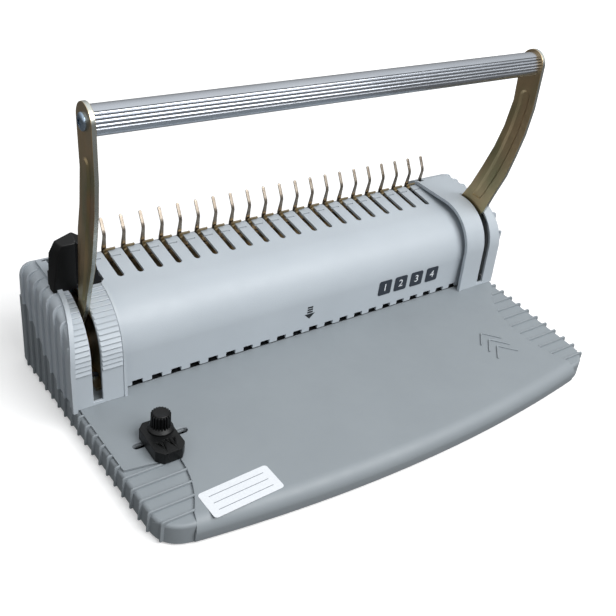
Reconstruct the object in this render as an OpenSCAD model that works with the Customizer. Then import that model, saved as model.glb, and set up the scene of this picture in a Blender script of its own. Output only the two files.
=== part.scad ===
// Comb binding machine: hand lever punch and comb opener on a moulded tray.
// Millimetres, +Z up, the user stands at -Y, origin on the floor under the middle of the machine.
// Head pieces are drawn with Y = 0 on the rear face of the machine and moved there by at_head().

/* [Overall] */
// Width of the base at its rear edge
base_w = 384; // [360:1:460]
// Depth of the base from front lip to rear face
base_d = 217; // [200:1:270]
// Height of the tray top above the floor
tray_z = 17.5; // [17:0.5:21]
// Height of the end covers above the floor
head_z = 84.8; // [84:0.2:90]
// Height of the grip bar's axis above the shaft
grip_rise = 176; // [150:1:215]

/* [Comb row] */
// Distance from one comb hole to the next
comb_pitch = 14.2875; // [11.9:0.0125:14.4]
// Number of holes along the sheet
hole_count = 21; // [15:1:21]
// How far the row sits to the right of the middle
row_shift = 2.15; // [0:0.05:3]
// Width of one punched hole
hole_w = 8; // [6:0.1:9]
// Depth of one punched hole
hole_d = 3; // [2.4:0.1:3.6]

/* [Walls and sheet] */
// Wall of the base moulding
base_wall = 2.5; // [2:0.1:3]
// Wall of the end covers
end_wall = 2.2; // [1.6:0.1:2.6]
// Wall of the front cover
cover_wall = 2; // [1.6:0.1:2.4]
// Thickness of the side frames
frame_t = 2; // [1.6:0.1:2.4]
// Thickness of the lever arms
arm_t = 3; // [2.4:0.1:3.6]

/* [Drive] */
// Radius of the main shaft
shaft_r = 6; // [5:0.1:7]
// Downward travel of the punches over the full lever stroke
punch_stroke = 8; // [6.6:0.1:8]
// Lever stroke in degrees
lever_stroke = 64; // [54:1:64]
// Module of the rack drive
gear_module = 1.5; // [1.4:0.1:1.6]
// Teeth on each rack pinion
gear_teeth = 24; // [22:1:24]
// Outer radius of the grip bar
grip_r = 8.5; // [7:0.1:10]

/* [Hidden] */
$fn = 64;
eps = 0.01;
sides = [-1, 1];

// Running and seating clearances
run_gap = 0.05;
slide_gap = 0.2;
free_gap = 0.4;

// Levels from the floor up
foot_h = 2;
plate_t = 1.5;
skirt_z = 1.5;
plate_top = foot_h + plate_t;
die_t = 3;
die_top = tray_z - 0.2;
throat = 2.7;
guide_z = die_top + throat;
guide_t = 3.5;
pin_tip = guide_z + 0.6;
shaft_z = 32;
bar_z = shaft_z + 2;
bar_h = 12;

// Across the machine, from the outer wall inwards
block_x = base_w / 2 - 6;
arm_slot_w = 6.4;
arm_mid = block_x - 15.2;
frame_in = arm_mid - 12.8;
frame_out = frame_in + frame_t;
row_half = frame_in - 3;
gear_x = frame_in - 8;
gear_w = 5;
cam_x = gear_x - 12;
cam_w = 10;
left_edge = -(block_x - 35);
right_edge = block_x - 39;

// Head outline, Y from the rear face
shaft_y = -38;
block_front = -87;
block_lean = 1.8;
block_arc_r = 35;
block_rear_r = 13;
cover_front = -80.1;
cover_arc_r = 33;
cover_arc_z = head_z - 40.2;
cover_slope = 0.12;
cover_rear = -3;
cover_rear_r = 11;
cover_low = 18.5;
notch_h = 3.4;
cover_rear_low = 66;
seam_z = 55;
seam_front = -60;
seam_rear = -8.5;

// Punching
punch_y = -73.5;
pin_gap = 0.15;
bar_d = 6;
bar_front = punch_y - bar_d / 2;
cam_offset = punch_stroke / 2 / sin(lever_stroke / 2);
cam_r = shaft_r + cam_offset + 1.5;
pad_t = 3;
pad_top = shaft_z + punch_stroke / 2 - cam_r - free_gap;
tab_w = 4;

// Comb opener
pitch_r = gear_module * gear_teeth / 2;
rack_travel = pitch_r * lever_stroke * PI / 180;
tooth_pitch = PI * gear_module;
rack_z = shaft_z + pitch_r;
rack_root = rack_z + 1.07 * gear_module;
hook_z = head_z - 14.8;
hook_plate_t = 1.6;
hook_rear = -11.9;
hook_d = 4;
hook_w = 2.4;
slot_w = 4.4;
slot_front = hook_rear - hook_d - rack_travel - 4.5;
slot_rear = -8.8;
stud_r = 2.4;
stud_z = 62;
stud_y = [-40, -18];
prong_t = 1.2;
prong_w = 3;
prong_y = -10.6;
rail_z = [hook_z - 10, hook_z + 8];
prong_z = [rail_z[1], head_z - 1, head_z + 9.7, head_z + 20.2];
prong_lean = [0, 0, -1.6, 4.6];

// Lever
grip_lean = 44;
grip_y = shaft_y - grip_lean;
grip_z = shaft_z + grip_rise;
hub_r = 13;
screw_r = 2.5;
arm_in = arm_mid - arm_t / 2;
arm_out = arm_mid + arm_t / 2;

// Base details
post_xy = [[110, -70], [base_w / 2 - 20, 0], [base_w / 2 - 20, 95]];
post_r = 4;
post_bore = 1.6;
foot_xy = [[160, 85], [150, -70]];
foot_r = 9;
flange_w = 7;
flange_screw_y = [-62, -20];

// Sheet edge guide
guide_x = -150;
guide_y = -24.5;
guide_slot_w = 4.7;
guide_slot_half = 18.5;
guide_body = [20, 31.5, 8.5];
knob_r = 6;
knob_z = tray_z + guide_body[2];

// Drawer for paper chips
drawer_y = [-86.5, -65.5];
drawer_z = [3.8, 11.4];
drawer_wall = 1.5;
drawer_left = -(frame_in - 11);

function hole_x(i) = row_shift + (i - (hole_count - 1) / 2) * comb_pitch;
function prong_x(j) = row_shift + (j - hole_count / 2) * comb_pitch;
function arc(cy, cz, r, a0, a1, n) = [for (k = [0 : n]) let (a = a0 + (a1 - a0) * k / n) [cy + r * cos(a), cz + r * sin(a)]];
function half_width(y) = base_w / 2 - (base_d / 2 - y) * 0.0456;
function front_lip(x) = -base_d / 2 + x * x / (2 * 1066);
function curve(p, q, r, n) = [for (k = [0 : n]) let (t = k / n) p * (1 - t) * (1 - t) + q * 2 * t * (1 - t) + r * t * t];
function cover_top(y) = cover_arc_z + cover_arc_r * cos(atan(cover_slope)) + cover_slope * (y - cover_front - cover_arc_r + 4);

// Outline of the end covers in the YZ plane, set in by t
function block_outline(t) = concat(
    [[block_front + t, tray_z]],
    arc(block_front + block_lean + block_arc_r, head_z - block_arc_r, block_arc_r - t, 180, 90, 18),
    arc(-block_rear_r, head_z - block_rear_r, block_rear_r - t, 90, 0, 10),
    [[-t, tray_z]]
);

// Outline of the front cover in the YZ plane, set in by t
function cover_outline(t, low) = concat(
    [[cover_front + t, low]],
    arc(cover_front + cover_arc_r, cover_arc_z, cover_arc_r - t, 180, 90 + atan(cover_slope), 18),
    arc(cover_rear - cover_rear_r, cover_top(cover_rear - cover_rear_r) - cover_rear_r, cover_rear_r - t, 90, 0, 10),
    [[cover_rear - t, low]]
);

// Plan outline of the base, set in by t
function right_side(t) = concat(
    [[half_width(base_d / 2) - t, base_d / 2 - t]],
    curve(
        [half_width(-base_d / 2 + 34) - t, -base_d / 2 + 34],
        [half_width(-base_d / 2 + 15) - t, -base_d / 2 + 15 + t],
        [base_w / 2 - 32 - t, front_lip(base_w / 2 - 32) + t], 8
    ),
    [for (k = [1 : 8]) let (x = (base_w / 2 - 32 - t) * (1 - k / 8)) [x, front_lip(x) + t]]
);
function base_outline(t) = concat(
    right_side(t),
    [for (k = [len(right_side(t)) - 2 : -1 : 0]) [-right_side(t)[k][0], right_side(t)[k][1]]]
);

module at_head() translate([0, base_d / 2, 0]) children();

// Extrudes a YZ outline along X from x0 to x1
module across(x0, x1) translate([x0, 0, 0]) rotate([90, 0, 90]) linear_extrude(x1 - x0) children();

module rod(x0, x1, r) translate([x0, 0, 0]) rotate([0, 90, 0]) cylinder(h = x1 - x0, r = r);

module block(x, y, z) translate([x[0], y[0], z[0]]) cube([x[1] - x[0], y[1] - y[0], z[1] - z[0]]);

module both_sides() for (s = sides) scale([s, 1, 1]) children();

// A box that repeats on the left and the right
module pair(x, y, z) for (s = sides) translate([s > 0 ? x[0] : -x[1], y[0], z[0]]) cube([x[1] - x[0], y[1] - y[0], z[1] - z[0]]);

// ---- Base ----
module base_tray() color("#8f989e") difference() {
    union() {
        difference() {
            translate([0, 0, skirt_z]) linear_extrude(tray_z - skirt_z) polygon(base_outline(0));
            translate([0, 0, skirt_z - 1]) linear_extrude(tray_z - skirt_z + 1 - base_wall) polygon(base_outline(base_wall));
            at_head() block([-row_half - 1, row_half + 1], [die_y()[0] - slide_gap, -base_wall], [0, tray_z + 1]);
        }
        at_head() die_ledge();
        at_head() for (s = sides) across(s > 0 ? block_x - base_wall : -block_x, s > 0 ? block_x : -block_x + base_wall)
            polygon([[seam_front, tray_z - 1], [seam_front, tray_z], [seam_rear, seam_z], [0, seam_z], [0, tray_z - 1]]);
        at_head() block([-block_x, block_x], [-base_wall, 0], [skirt_z, seam_z]);
        for (s = sides) for (p = post_xy) translate([s * p[0], p[1], plate_top]) cylinder(h = tray_z - base_wall - plate_top + eps, r = post_r);
    }
    for (s = sides) for (p = post_xy) translate([s * p[0], p[1], plate_top - 1]) cylinder(h = 10, r = post_bore);
    guide_slot();
    at_head() for (s = sides) for (y = flange_screw_y) translate([s * (frame_out + flange_w / 2), y, tray_z - base_wall - 1]) cylinder(h = base_wall + 2, r = post_bore);
    at_head() block([frame_out, base_w], drawer_y + [-slide_gap, slide_gap], drawer_z + [-0.5, slide_gap]);
}

function die_y() = [-79, -66.5];

// Ledge that carries the die plate along its front edge and at both ends
module die_ledge() {
    ledge_z = [die_top - die_t - 2.4, die_top - die_t];
    front = die_y()[0] - slide_gap;
    block([-row_half - 3, row_half + 3], [front - base_wall, front + 1.5], ledge_z);
    block([-row_half - 3, row_half + 3], [front - base_wall, front], [ledge_z[0], tray_z - base_wall + eps]);
    pair([row_half - 4, row_half + 3], [front - base_wall, die_y()[1]], ledge_z);
    pair([row_half + 1, row_half + 3], [front - base_wall, die_y()[1]], [ledge_z[0], tray_z - base_wall + eps]);
}

module guide_slot() {
    for (s = sides) translate([guide_x + s * (guide_slot_half - guide_slot_w / 2), guide_y, tray_z - base_wall - 1]) cylinder(h = base_wall + 2, r = guide_slot_w / 2);
    block(
        [guide_x - guide_slot_half + guide_slot_w / 2, guide_x + guide_slot_half - guide_slot_w / 2],
        [guide_y - guide_slot_w / 2, guide_y + guide_slot_w / 2],
        [tray_z - base_wall - 1, tray_z + 1]
    );
}

module bottom_plate() color("#4a4d50") difference() {
    translate([0, 0, foot_h]) linear_extrude(plate_t) polygon(base_outline(base_wall + 0.5));
    for (s = sides) for (p = post_xy) translate([s * p[0], p[1], 0]) cylinder(h = 10, r = post_bore + slide_gap);
}

module rubber_feet() color("#26282a") for (s = sides) for (p = foot_xy) translate([s * p[0], p[1], 0]) cylinder(h = foot_h, r = foot_r);

module base_screws() color("#9aa3a8") for (s = sides) for (p = post_xy) translate([s * p[0], p[1], 0]) {
    translate([0, 0, foot_h - 0.9]) cylinder(h = 0.9, r = 3.2);
    translate([0, 0, foot_h - eps]) cylinder(h = 9, r = post_bore);
}

// ---- Covers ----
module front_cover() color("#bcc5cd") at_head() difference() {
    across(-frame_out, frame_out) polygon(cover_outline(0, cover_low));
    across(-frame_out - 1, frame_out + 1) polygon(cover_outline(cover_wall, cover_low - 1));
    block([-base_w, base_w], [cover_rear - cover_wall - 1, 1], [0, cover_rear_low]);
    for (i = [0 : hole_count - 1]) block([hole_x(i) - 3.75, hole_x(i) + 3.75], [cover_front - 1, cover_front + cover_wall + 1], [0, cover_low + notch_h]);
    for (j = [0 : hole_count - 1]) hook_slot(prong_x(j));
    block([prong_x(hole_count) - slot_w / 2, prong_x(hole_count) + slot_w / 2], [hook_rear - 0.8, slot_rear], [hook_z + 4, head_z + 1]);
}

// One opener slot: the run of the hook, a round front end and a thin side slit
module hook_slot(x) {
    low = hook_z + 3.5;
    block([x - slot_w / 2, x + slot_w / 2], [slot_front + slot_w / 2, slot_rear], [low, head_z + 1]);
    translate([x, slot_front + slot_w / 2, low]) cylinder(h = head_z + 1 - low, r = slot_w / 2);
    block([x, x + slot_w / 2 + 6.5], [hook_rear - 7.3, hook_rear - 6], [low, head_z + 1]);
}

// One end cover between its inner edge and the outer wall, on the side given by s
module end_cover(s, inner) at_head() difference() {
    across(s > 0 ? inner : -block_x, s > 0 ? block_x : inner) polygon(block_outline(0));
    across(s > 0 ? inner - 1 : -block_x + end_wall, s > 0 ? block_x - end_wall : inner + 1) polygon(concat(block_outline(end_wall), [[-end_wall, 0], [block_front + end_wall, 0]]));
    across(-base_w, base_w) polygon([[seam_front, 0], [seam_front, tray_z], [seam_rear, seam_z], [1, seam_z], [1, 0]]);
    arm_slot(s, s > 0 ? -44.3 : -11);
    if (s > 0) block([prong_x(hole_count) - 2.8, prong_x(hole_count) + 2.8], [hook_rear - 1.6, slot_rear + 1], [hook_z, head_z + 1]);
}

// Slot that the lever arm swings through, from low on the front to y_end on the top
module arm_slot(s, y_end) {
    x = [s * arm_mid - arm_slot_w / 2, s * arm_mid + arm_slot_w / 2];
    block(x, [block_front - 1, y_end], [head_z - 14, head_z + 1]);
    block(x, [block_front - 1, block_front + 25], [tray_z + 2.5, head_z]);
}

module left_end_cover() color("#bcc5cd") end_cover(-1, left_edge);

module right_end_cover() color("#bcc5cd") end_cover(1, right_edge);

module rear_cover() color("#aab2b9") at_head() block([-frame_out, frame_out], [cover_rear - cover_wall, -base_wall], [seam_z - 5, cover_rear_low]);

// ---- Frame ----
module side_frame(s) at_head() difference() {
    union() {
        across(s > 0 ? frame_in : -frame_out, s > 0 ? frame_out : -frame_in) intersection() {
            polygon(cover_outline(cover_wall + run_gap, tray_z));
            translate([-100, 0]) square([100 + prong_back() + frame_t, 100]);
        }
        block(s > 0 ? [frame_out - eps, frame_out + flange_w] : [-frame_out - flange_w, -frame_out + eps], [-74, -12], [tray_z, tray_z + frame_t]);
        block(s > 0 ? [frame_in - 10, frame_in + eps] : [-frame_in - eps, -frame_in + 10], [prong_back(), prong_back() + frame_t], [rail_z[0] - 2, hook_z + 3]);
    }
    translate([0, shaft_y, shaft_z]) rod(-base_w, base_w, bush_r);
    across(-base_w, base_w) translate([punch_y - tab_w / 2 - slide_gap, bar_z + 2 - punch_stroke - 0.5]) square([tab_w + 2 * slide_gap, punch_stroke + 9]);
    for (y = [stud_y[0] - rack_travel - 0.5, stud_y[1] + 0.5]) translate([0, y, stud_z]) rod(-base_w, base_w, stud_r + slide_gap);
    across(-base_w, base_w) translate([stud_y[0] - rack_travel - 0.5, stud_z - stud_r - slide_gap]) square([stud_y[1] - stud_y[0] + rack_travel + 1, 2 * (stud_r + slide_gap)]);
    for (y = flange_screw_y) translate([s * (frame_out + flange_w / 2), y, tray_z - 1]) cylinder(h = frame_t + 2, r = post_bore);
    translate([s * (frame_in - 5), prong_back() - 1, rail_z[0] + 4]) rotate([-90, 0, 0]) cylinder(h = frame_t + 2, r = post_bore);
}

bush_r = shaft_r + 2.5;

function prong_back() = prong_y + prong_t / 2;

module left_side_frame() color("#a7a08c") side_frame(-1);

module right_side_frame() color("#a7a08c") side_frame(1);

module shaft_bushes() color("#b58b4c") at_head() for (s = sides) translate([0, shaft_y, shaft_z]) difference() {
    union() {
        rod(s > 0 ? frame_in - 1.5 : -frame_out - 1, s > 0 ? frame_out + 1 : -frame_in + 1.5, bush_r);
        rod(s > 0 ? frame_in - 1.5 : -frame_in, s > 0 ? frame_in : -frame_in + 1.5, bush_r + 2);
    }
    rod(-base_w, base_w, shaft_r + run_gap);
}

module frame_screws() color("#9aa3a8") at_head() for (s = sides) {
    for (y = flange_screw_y) translate([s * (frame_out + flange_w / 2), y, tray_z + frame_t]) {
        cylinder(h = 1.8, r = 3);
        translate([0, 0, -6]) cylinder(h = 6 + eps, r = post_bore);
    }
    translate([s * (frame_in - 5), prong_back() + frame_t, rail_z[0] + 4]) rotate([90, 0, 0]) {
        translate([0, 0, -1.6]) cylinder(h = 1.6, r = 3);
        translate([0, 0, -eps]) cylinder(h = frame_t + prong_t, r = post_bore);
    }
}

// ---- Punching set ----
module die_screw_holes(z, h, r) for (s = sides) translate([s * (row_half - 2.5), -69.5, z]) cylinder(h = h, r = r);

module holes(gap, z) for (i = [0 : hole_count - 1]) block(
    [hole_x(i) - hole_w / 2 - gap, hole_x(i) + hole_w / 2 + gap],
    [punch_y - hole_d / 2 - gap, punch_y + hole_d / 2 + gap], z
);

module die_plate() color("#7d8286") at_head() difference() {
    block([-row_half, row_half], die_y(), [die_top - die_t, die_top]);
    holes(pin_gap, [0, tray_z]);
}

module punch_guide() color("#8c9195") at_head() difference() {
    block([-row_half, row_half], [-77.9, -67.5], [guide_z, guide_z + guide_t]);
    holes(pin_gap, [0, guide_z + guide_t + 1]);
}

module throat_spacers() color("#8c9195") at_head() pair([row_half - 5, row_half], [-77, -70], [die_top, guide_z]);

module paper_stop() color("#6b7074") at_head() block([-row_half + 5, row_half - 5], [-69, -67.5], [die_top, guide_z]);

module punch_pins() color("#c9ced2") at_head() for (i = [0 : hole_count - 1]) block(
    [hole_x(i) - hole_w / 2, hole_x(i) + hole_w / 2],
    [punch_y - hole_d / 2, punch_y + hole_d / 2], [pin_tip, bar_z]
);

module punch_bar() color("#8b8f92") at_head() {
    block([-frame_in + 0.5, frame_in - 0.5], [bar_front, bar_front + bar_d], [bar_z, bar_z + bar_h]);
    pair([frame_in - 0.5 - eps, frame_out + 0.5], [punch_y - tab_w / 2, punch_y + tab_w / 2], [bar_z + 2, bar_z + 10]);
}

// Bent straps that reach from the punch bar down and under the cams
module cam_followers() color("#8b8f92") at_head() for (s = sides) {
    x = s > 0 ? [cam_x, cam_x + cam_w] : [-cam_x - cam_w, -cam_x];
    wall_y = shaft_y - cam_offset - cam_r - 1.5;
    bar_back = bar_front + bar_d;
    block(x, [bar_back, wall_y], [bar_z + bar_h - pad_t, bar_z + bar_h]);
    block(x, [wall_y - pad_t, wall_y], [pad_top - pad_t, bar_z + bar_h]);
    block(x, [wall_y - pad_t, shaft_y + 4], [pad_top - pad_t, pad_top]);
}

// Helical compression spring of round wire, swept as rings of six points
module coil_spring(r, wire, turns, h) {
    rings = turns * 12;
    pts = [for (k = [0 : rings]) for (m = [0 : 5]) let (a = 360 * turns * k / rings, b = 60 * m)
        [(r + wire * cos(b)) * cos(a), (r + wire * cos(b)) * sin(a), wire + (h - 2 * wire) * k / rings + wire * sin(b)]];
    sides_f = [for (k = [0 : rings - 1]) for (m = [0 : 5]) [k * 6 + m, k * 6 + (m + 1) % 6, k * 6 + 6 + (m + 1) % 6, k * 6 + 6 + m]];
    polyhedron(pts, concat([[5, 4, 3, 2, 1, 0]], sides_f, [[for (m = [0 : 5]) rings * 6 + m]]), convexity = 8);
}

module return_springs() color("#b9bec2") at_head() for (s = sides) translate([s * (cam_x + cam_w / 2), shaft_y - 12, plate_top])
    coil_spring(4, 0.7, 4, pad_top - pad_t - plate_top);

// ---- Shaft and lever ----
module pivot_shaft() color("#b9bec2") at_head() translate([0, shaft_y, shaft_z]) rod(-arm_out - 3, arm_out + 3, shaft_r);

module shaft_clips() color("#6f7478") at_head() translate([0, shaft_y, shaft_z]) for (s = sides) difference() {
    rod(s > 0 ? arm_out : -arm_out - 1.2, s > 0 ? arm_out + 1.2 : -arm_out, shaft_r + 3);
    rod(-base_w, base_w, shaft_r);
}

module punch_cams() color("#7d8286") at_head() for (s = sides) difference() {
    translate([0, shaft_y - cam_offset * cos(lever_stroke / 2), shaft_z + cam_offset * sin(lever_stroke / 2)])
        rod(s > 0 ? cam_x : -cam_x - cam_w, s > 0 ? cam_x + cam_w : -cam_x, cam_r);
    translate([0, shaft_y, shaft_z]) rod(-base_w, base_w, shaft_r);
}

// One tooth standing on the root circle, pointing up
module pinion_tooth() polygon([[-1.15, 0], [-0.9, 1.8], [-0.5, 3.1], [0.5, 3.1], [0.9, 1.8], [1.15, 0]] * gear_module / 1.5);

module rack_pinions() color("#d8d4c4") at_head() for (s = sides) translate([0, shaft_y, shaft_z])
    across(s > 0 ? gear_x : -gear_x - gear_w, s > 0 ? gear_x + gear_w : -gear_x) difference() {
        union() {
            circle(r = pitch_r - 1.15 * gear_module, $fn = 96);
            for (k = [0 : gear_teeth - 1]) rotate(k * 360 / gear_teeth) translate([0, pitch_r - 1.2 * gear_module]) pinion_tooth();
        }
        circle(r = shaft_r);
    }

// Edges of the arm as it stands at rest: height above the shaft, then Y of the front and rear edge
arm_edges = [[15, -15.2, 13], [50, -35, -7], [66, -40, -15], [86, -47, -22.5], [105, -51, -29], [124, -54.4, -33.5], [146, -56, -36]];

module lever_arm(s) at_head() translate([0, shaft_y, shaft_z]) difference() {
    x = s > 0 ? [arm_in, arm_out] : [-arm_out, -arm_in];
    union() {
        rod(x[0], x[1], hub_r);
        across(x[0], x[1]) polygon(concat(
            [[-hub_r + 1, 0]],
            [for (e = arm_edges) [e[1], e[0] * grip_rise / 176]],
            arc(-grip_lean, grip_rise, grip_r + 2, 180, 0, 16),
            [for (k = [len(arm_edges) - 1 : -1 : 0]) [arm_edges[k][2], arm_edges[k][0] * grip_rise / 176]],
            [[hub_r - 1, 0]]
        ));
    }
    rod(-base_w, base_w, shaft_r);
    translate([0, -grip_lean, grip_rise]) rod(-base_w, base_w, screw_r);
}

module left_arm() color("#8f866c") lever_arm(-1);

module right_arm() color("#8f866c") lever_arm(1);

module handle_bar() color("#c4c8cc") at_head() translate([0, grip_y, grip_z]) difference() {
    rod(-arm_in, arm_in, grip_r);
    rod(-base_w, base_w, grip_r - 2);
}

module bar_plugs() color("#3c3f42") at_head() translate([0, grip_y, grip_z]) for (s = sides) difference() {
    rod(s > 0 ? arm_in - 15 : -arm_in, s > 0 ? arm_in : -arm_in + 15, grip_r - 2);
    rod(-base_w, base_w, screw_r);
}

module handle_screws() color("#7d93a8") at_head() translate([0, grip_y, grip_z]) for (s = sides) {
    rod(s > 0 ? arm_in - 12 : -arm_out, s > 0 ? arm_out : -arm_in + 12, screw_r);
    rod(s > 0 ? arm_out : -arm_out - 2.8, s > 0 ? arm_out + 2.8 : -arm_out, 5.2);
}

// ---- Comb opener ----
// A bent strip of even thickness following points [y, z]
module strip(y, z, t) polygon(concat([for (k = [0 : len(y) - 1]) [y[k] - t / 2, z[k]]], [for (k = [len(y) - 1 : -1 : 0]) [y[k] + t / 2, z[k]]]));

module prong_rack() color("#b3ab97") at_head() difference() {
    union() {
        block([-frame_in + 0.1, frame_in - 0.1], [prong_y - prong_t / 2, prong_back()], rail_z);
        for (j = [0 : hole_count]) across(prong_x(j) - prong_w / 2, prong_x(j) + prong_w / 2)
            strip([for (d = prong_lean) prong_y + d], prong_z, prong_t);
    }
    for (s = sides) translate([s * (frame_in - 5), -20, rail_z[0] + 4]) rotate([-90, 0, 0]) cylinder(h = 20, r = post_bore);
}

module hook_rack() color("#8c7a52") at_head() {
    top = cover_top(hook_rear) + 0.7;
    block([-gear_x - gear_w, gear_x + gear_w], [hook_rear - 22.6, hook_rear], [hook_z, hook_z + hook_plate_t]);
    for (j = [0 : hole_count - 1]) {
        x = prong_x(j);
        block([x - hook_w / 2, x + hook_w / 2], [hook_rear - hook_d, hook_rear], [hook_z + hook_plate_t, top + 1.2]);
        block([x, x + hook_w / 2 + 6], [hook_rear - 1.8, hook_rear], [top, top + 1.2]);
    }
}

// Rack legs under the hook plate, toothed along their lower edges
module toothed_racks() color("#d8d4c4") at_head() for (s = sides)
    across(s > 0 ? gear_x : -gear_x - gear_w, s > 0 ? gear_x + gear_w : -gear_x) {
        front = shaft_y - 1.8 * tooth_pitch;
        rear = hook_rear - 1;
        polygon([[front, rack_root - eps], [front, rack_root + 6], [hook_rear - 22.6, hook_z], [rear, hook_z], [rear, rack_root - eps]]);
        for (k = [-2 : 4]) translate([shaft_y + (k + 0.5) * tooth_pitch, rack_root])
            polygon([[-1.4, 0], [-0.95, -1.6], [-0.5, -2.9], [0.5, -2.9], [0.95, -1.6], [1.4, 0]] * gear_module / 1.5);
    }

module rack_studs() color("#b9bec2") at_head() for (s = sides) for (y = stud_y) translate([0, y, stud_z])
    rod(s > 0 ? gear_x + gear_w : -frame_out - 0.5, s > 0 ? frame_out + 0.5 : -gear_x - gear_w, stud_r);

// ---- Controls on the outside ----
stop_front = -52;
stop_rear = -20;
stop_open = -43.2;
stop_z = head_z + slide_gap;

module opening_stop() color("#1f2022") at_head() {
    tall = concat([[stop_front, stop_z]], arc(stop_front + 17, stop_z + 24, 17, 180, 45, 10), [[stop_rear, stop_z + 20], [stop_rear, stop_z]]);
    outer = -block_x + 2;
    slot_x = [-arm_mid - arm_slot_w / 2, -arm_mid + arm_slot_w / 2];
    across(outer, slot_x[0] - 0.6) polygon(tall);
    across(slot_x[1] + 0.6, left_edge - 1) polygon([[stop_front, stop_z], [stop_front, stop_z + 10], [stop_open, stop_z + 14], [stop_rear, stop_z + 14], [stop_rear, stop_z]]);
    block([slot_x[0] - 0.6 - eps, slot_x[1] + 0.6 + eps], [stop_open, stop_rear], [stop_z, stop_z + 14]);
    block([slot_x[0] + slide_gap * 2, slot_x[1] - slide_gap * 2], [stop_open + 1, stop_rear - 4], [stop_z - end_wall - 1.5, stop_z + eps]);
    block([slot_x[0] - 2, slot_x[1] + 2], [stop_open + 1, stop_rear - 4], [stop_z - end_wall - 2.5, stop_z - end_wall - 0.7]);
}

module edge_guide() color("#1f2022") difference() {
    x0 = guide_x - 12;
    y0 = guide_y - 22;
    translate([0, 0, tray_z]) linear_extrude(guide_body[2]) polygon([
        [x0, y0 + 5], [x0 + 4, y0], [x0 + guide_body[0] - 4, y0], [x0 + guide_body[0], y0 + 5],
        [x0 + guide_body[0], y0 + guide_body[1] - 4], [x0 + guide_body[0] - 4, y0 + guide_body[1]],
        [x0 + 4, y0 + guide_body[1]], [x0, y0 + guide_body[1] - 4]
    ]);
    translate([guide_x, guide_y, 0]) cylinder(h = 60, r = guide_slot_w / 2 - slide_gap + run_gap);
}

// Stud through the guide and the tray slot, with its square nut under the tray
module guide_stud() color("#9aa3a8") translate([guide_x, guide_y, 0]) {
    translate([0, 0, tray_z - base_wall - 3]) cylinder(h = knob_z + 9 - tray_z + base_wall + 3, r = guide_slot_w / 2 - slide_gap);
    translate([-4.5, -4.5, tray_z - base_wall - 3.2]) cube([9, 9, 3]);
}

module guide_knob() color("#1f2022") translate([guide_x, guide_y, knob_z]) difference() {
    union() {
        cylinder(h = 2, r = knob_r + 2);
        cylinder(h = 13, r = knob_r);
    }
    translate([0, 0, -1]) cylinder(h = 11, r = guide_slot_w / 2 - slide_gap + run_gap);
}

module chip_drawer() color("#5d6367") at_head() difference() {
    x = [drawer_left, half_width(base_d / 2 + drawer_y[0]) - 0.2];
    union() {
        block(x, drawer_y, drawer_z);
        block([x[1] - 2, x[1]], drawer_y, drawer_z);
    }
    block([x[0] + drawer_wall, x[1] - 3], drawer_y + [drawer_wall, -drawer_wall], [drawer_z[0] + drawer_wall, 30]);
}

// ---- Trim ----
badge = [12.5, 0.4, 13];
badge_x = [62, 78, 94.5, 111];
badge_z = 32;

module badges() color("#22272f") at_head() for (x = badge_x) translate([x, cover_front - badge[1], badge_z]) cube(badge);

module blank_label() color("#f2f3f3") translate([-128, -86, tray_z]) rotate(2.4) translate([-24.2, -10.5, 0]) cube([48.5, 21, 0.25]);

base_tray();
bottom_plate();
rubber_feet();
base_screws();
front_cover();
left_end_cover();
right_end_cover();
rear_cover();
left_side_frame();
right_side_frame();
shaft_bushes();
frame_screws();
die_plate();
punch_guide();
throat_spacers();
paper_stop();
prong_rack();
return_springs();
badges();
blank_label();
left_arm();
right_arm();
handle_bar();
bar_plugs();
handle_screws();
pivot_shaft();
shaft_clips();
punch_cams();
rack_pinions();
punch_bar();
punch_pins();
cam_followers();
hook_rack();
toothed_racks();
rack_studs();
opening_stop();
edge_guide();
guide_stud();
guide_knob();
chip_drawer();
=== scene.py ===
import math

import bmesh
import bpy
from mathutils import Matrix, Vector


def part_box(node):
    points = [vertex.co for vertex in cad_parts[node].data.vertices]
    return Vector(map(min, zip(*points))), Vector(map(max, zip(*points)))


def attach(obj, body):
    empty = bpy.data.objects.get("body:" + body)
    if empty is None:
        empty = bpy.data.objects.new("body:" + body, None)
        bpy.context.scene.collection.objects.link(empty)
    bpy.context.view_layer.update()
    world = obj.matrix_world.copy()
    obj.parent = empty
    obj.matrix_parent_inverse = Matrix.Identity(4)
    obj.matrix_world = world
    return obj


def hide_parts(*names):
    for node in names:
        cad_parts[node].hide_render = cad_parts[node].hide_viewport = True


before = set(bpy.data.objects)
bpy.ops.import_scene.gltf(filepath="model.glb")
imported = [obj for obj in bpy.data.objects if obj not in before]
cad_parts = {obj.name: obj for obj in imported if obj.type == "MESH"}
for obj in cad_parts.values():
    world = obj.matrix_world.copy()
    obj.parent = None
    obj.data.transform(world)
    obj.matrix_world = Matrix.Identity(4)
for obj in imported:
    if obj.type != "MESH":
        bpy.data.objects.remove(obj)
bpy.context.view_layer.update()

mm = 0.001  # sizes below are in millimetres


# Small helpers
def boxMm(node):
    low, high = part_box(node)
    return [c / mm for c in low], [c / mm for c in high]


def middleOf(node):
    return [(a + b) / 2 for a, b in zip(*boxMm(node))]


def clamped(share):
    return min(max(share, 0), 1)


def feed(tree, node, inputs):
    for socket, value in inputs.items():
        if isinstance(value, bpy.types.NodeSocket):
            tree.links.new(value, node.inputs[socket])
        else:
            node.inputs[socket].default_value = value


def addNode(tree, kind, inputs=None, **settings):
    node = tree.nodes.new(kind)
    for name, value in settings.items():
        setattr(node, name, value)
    feed(tree, node, inputs or {})
    return node


# Adds a node and hands on one of its outputs
def through(tree, kind, inputs=None, output=0, **settings):
    return addNode(tree, kind, inputs, **settings).outputs[output]


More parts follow.
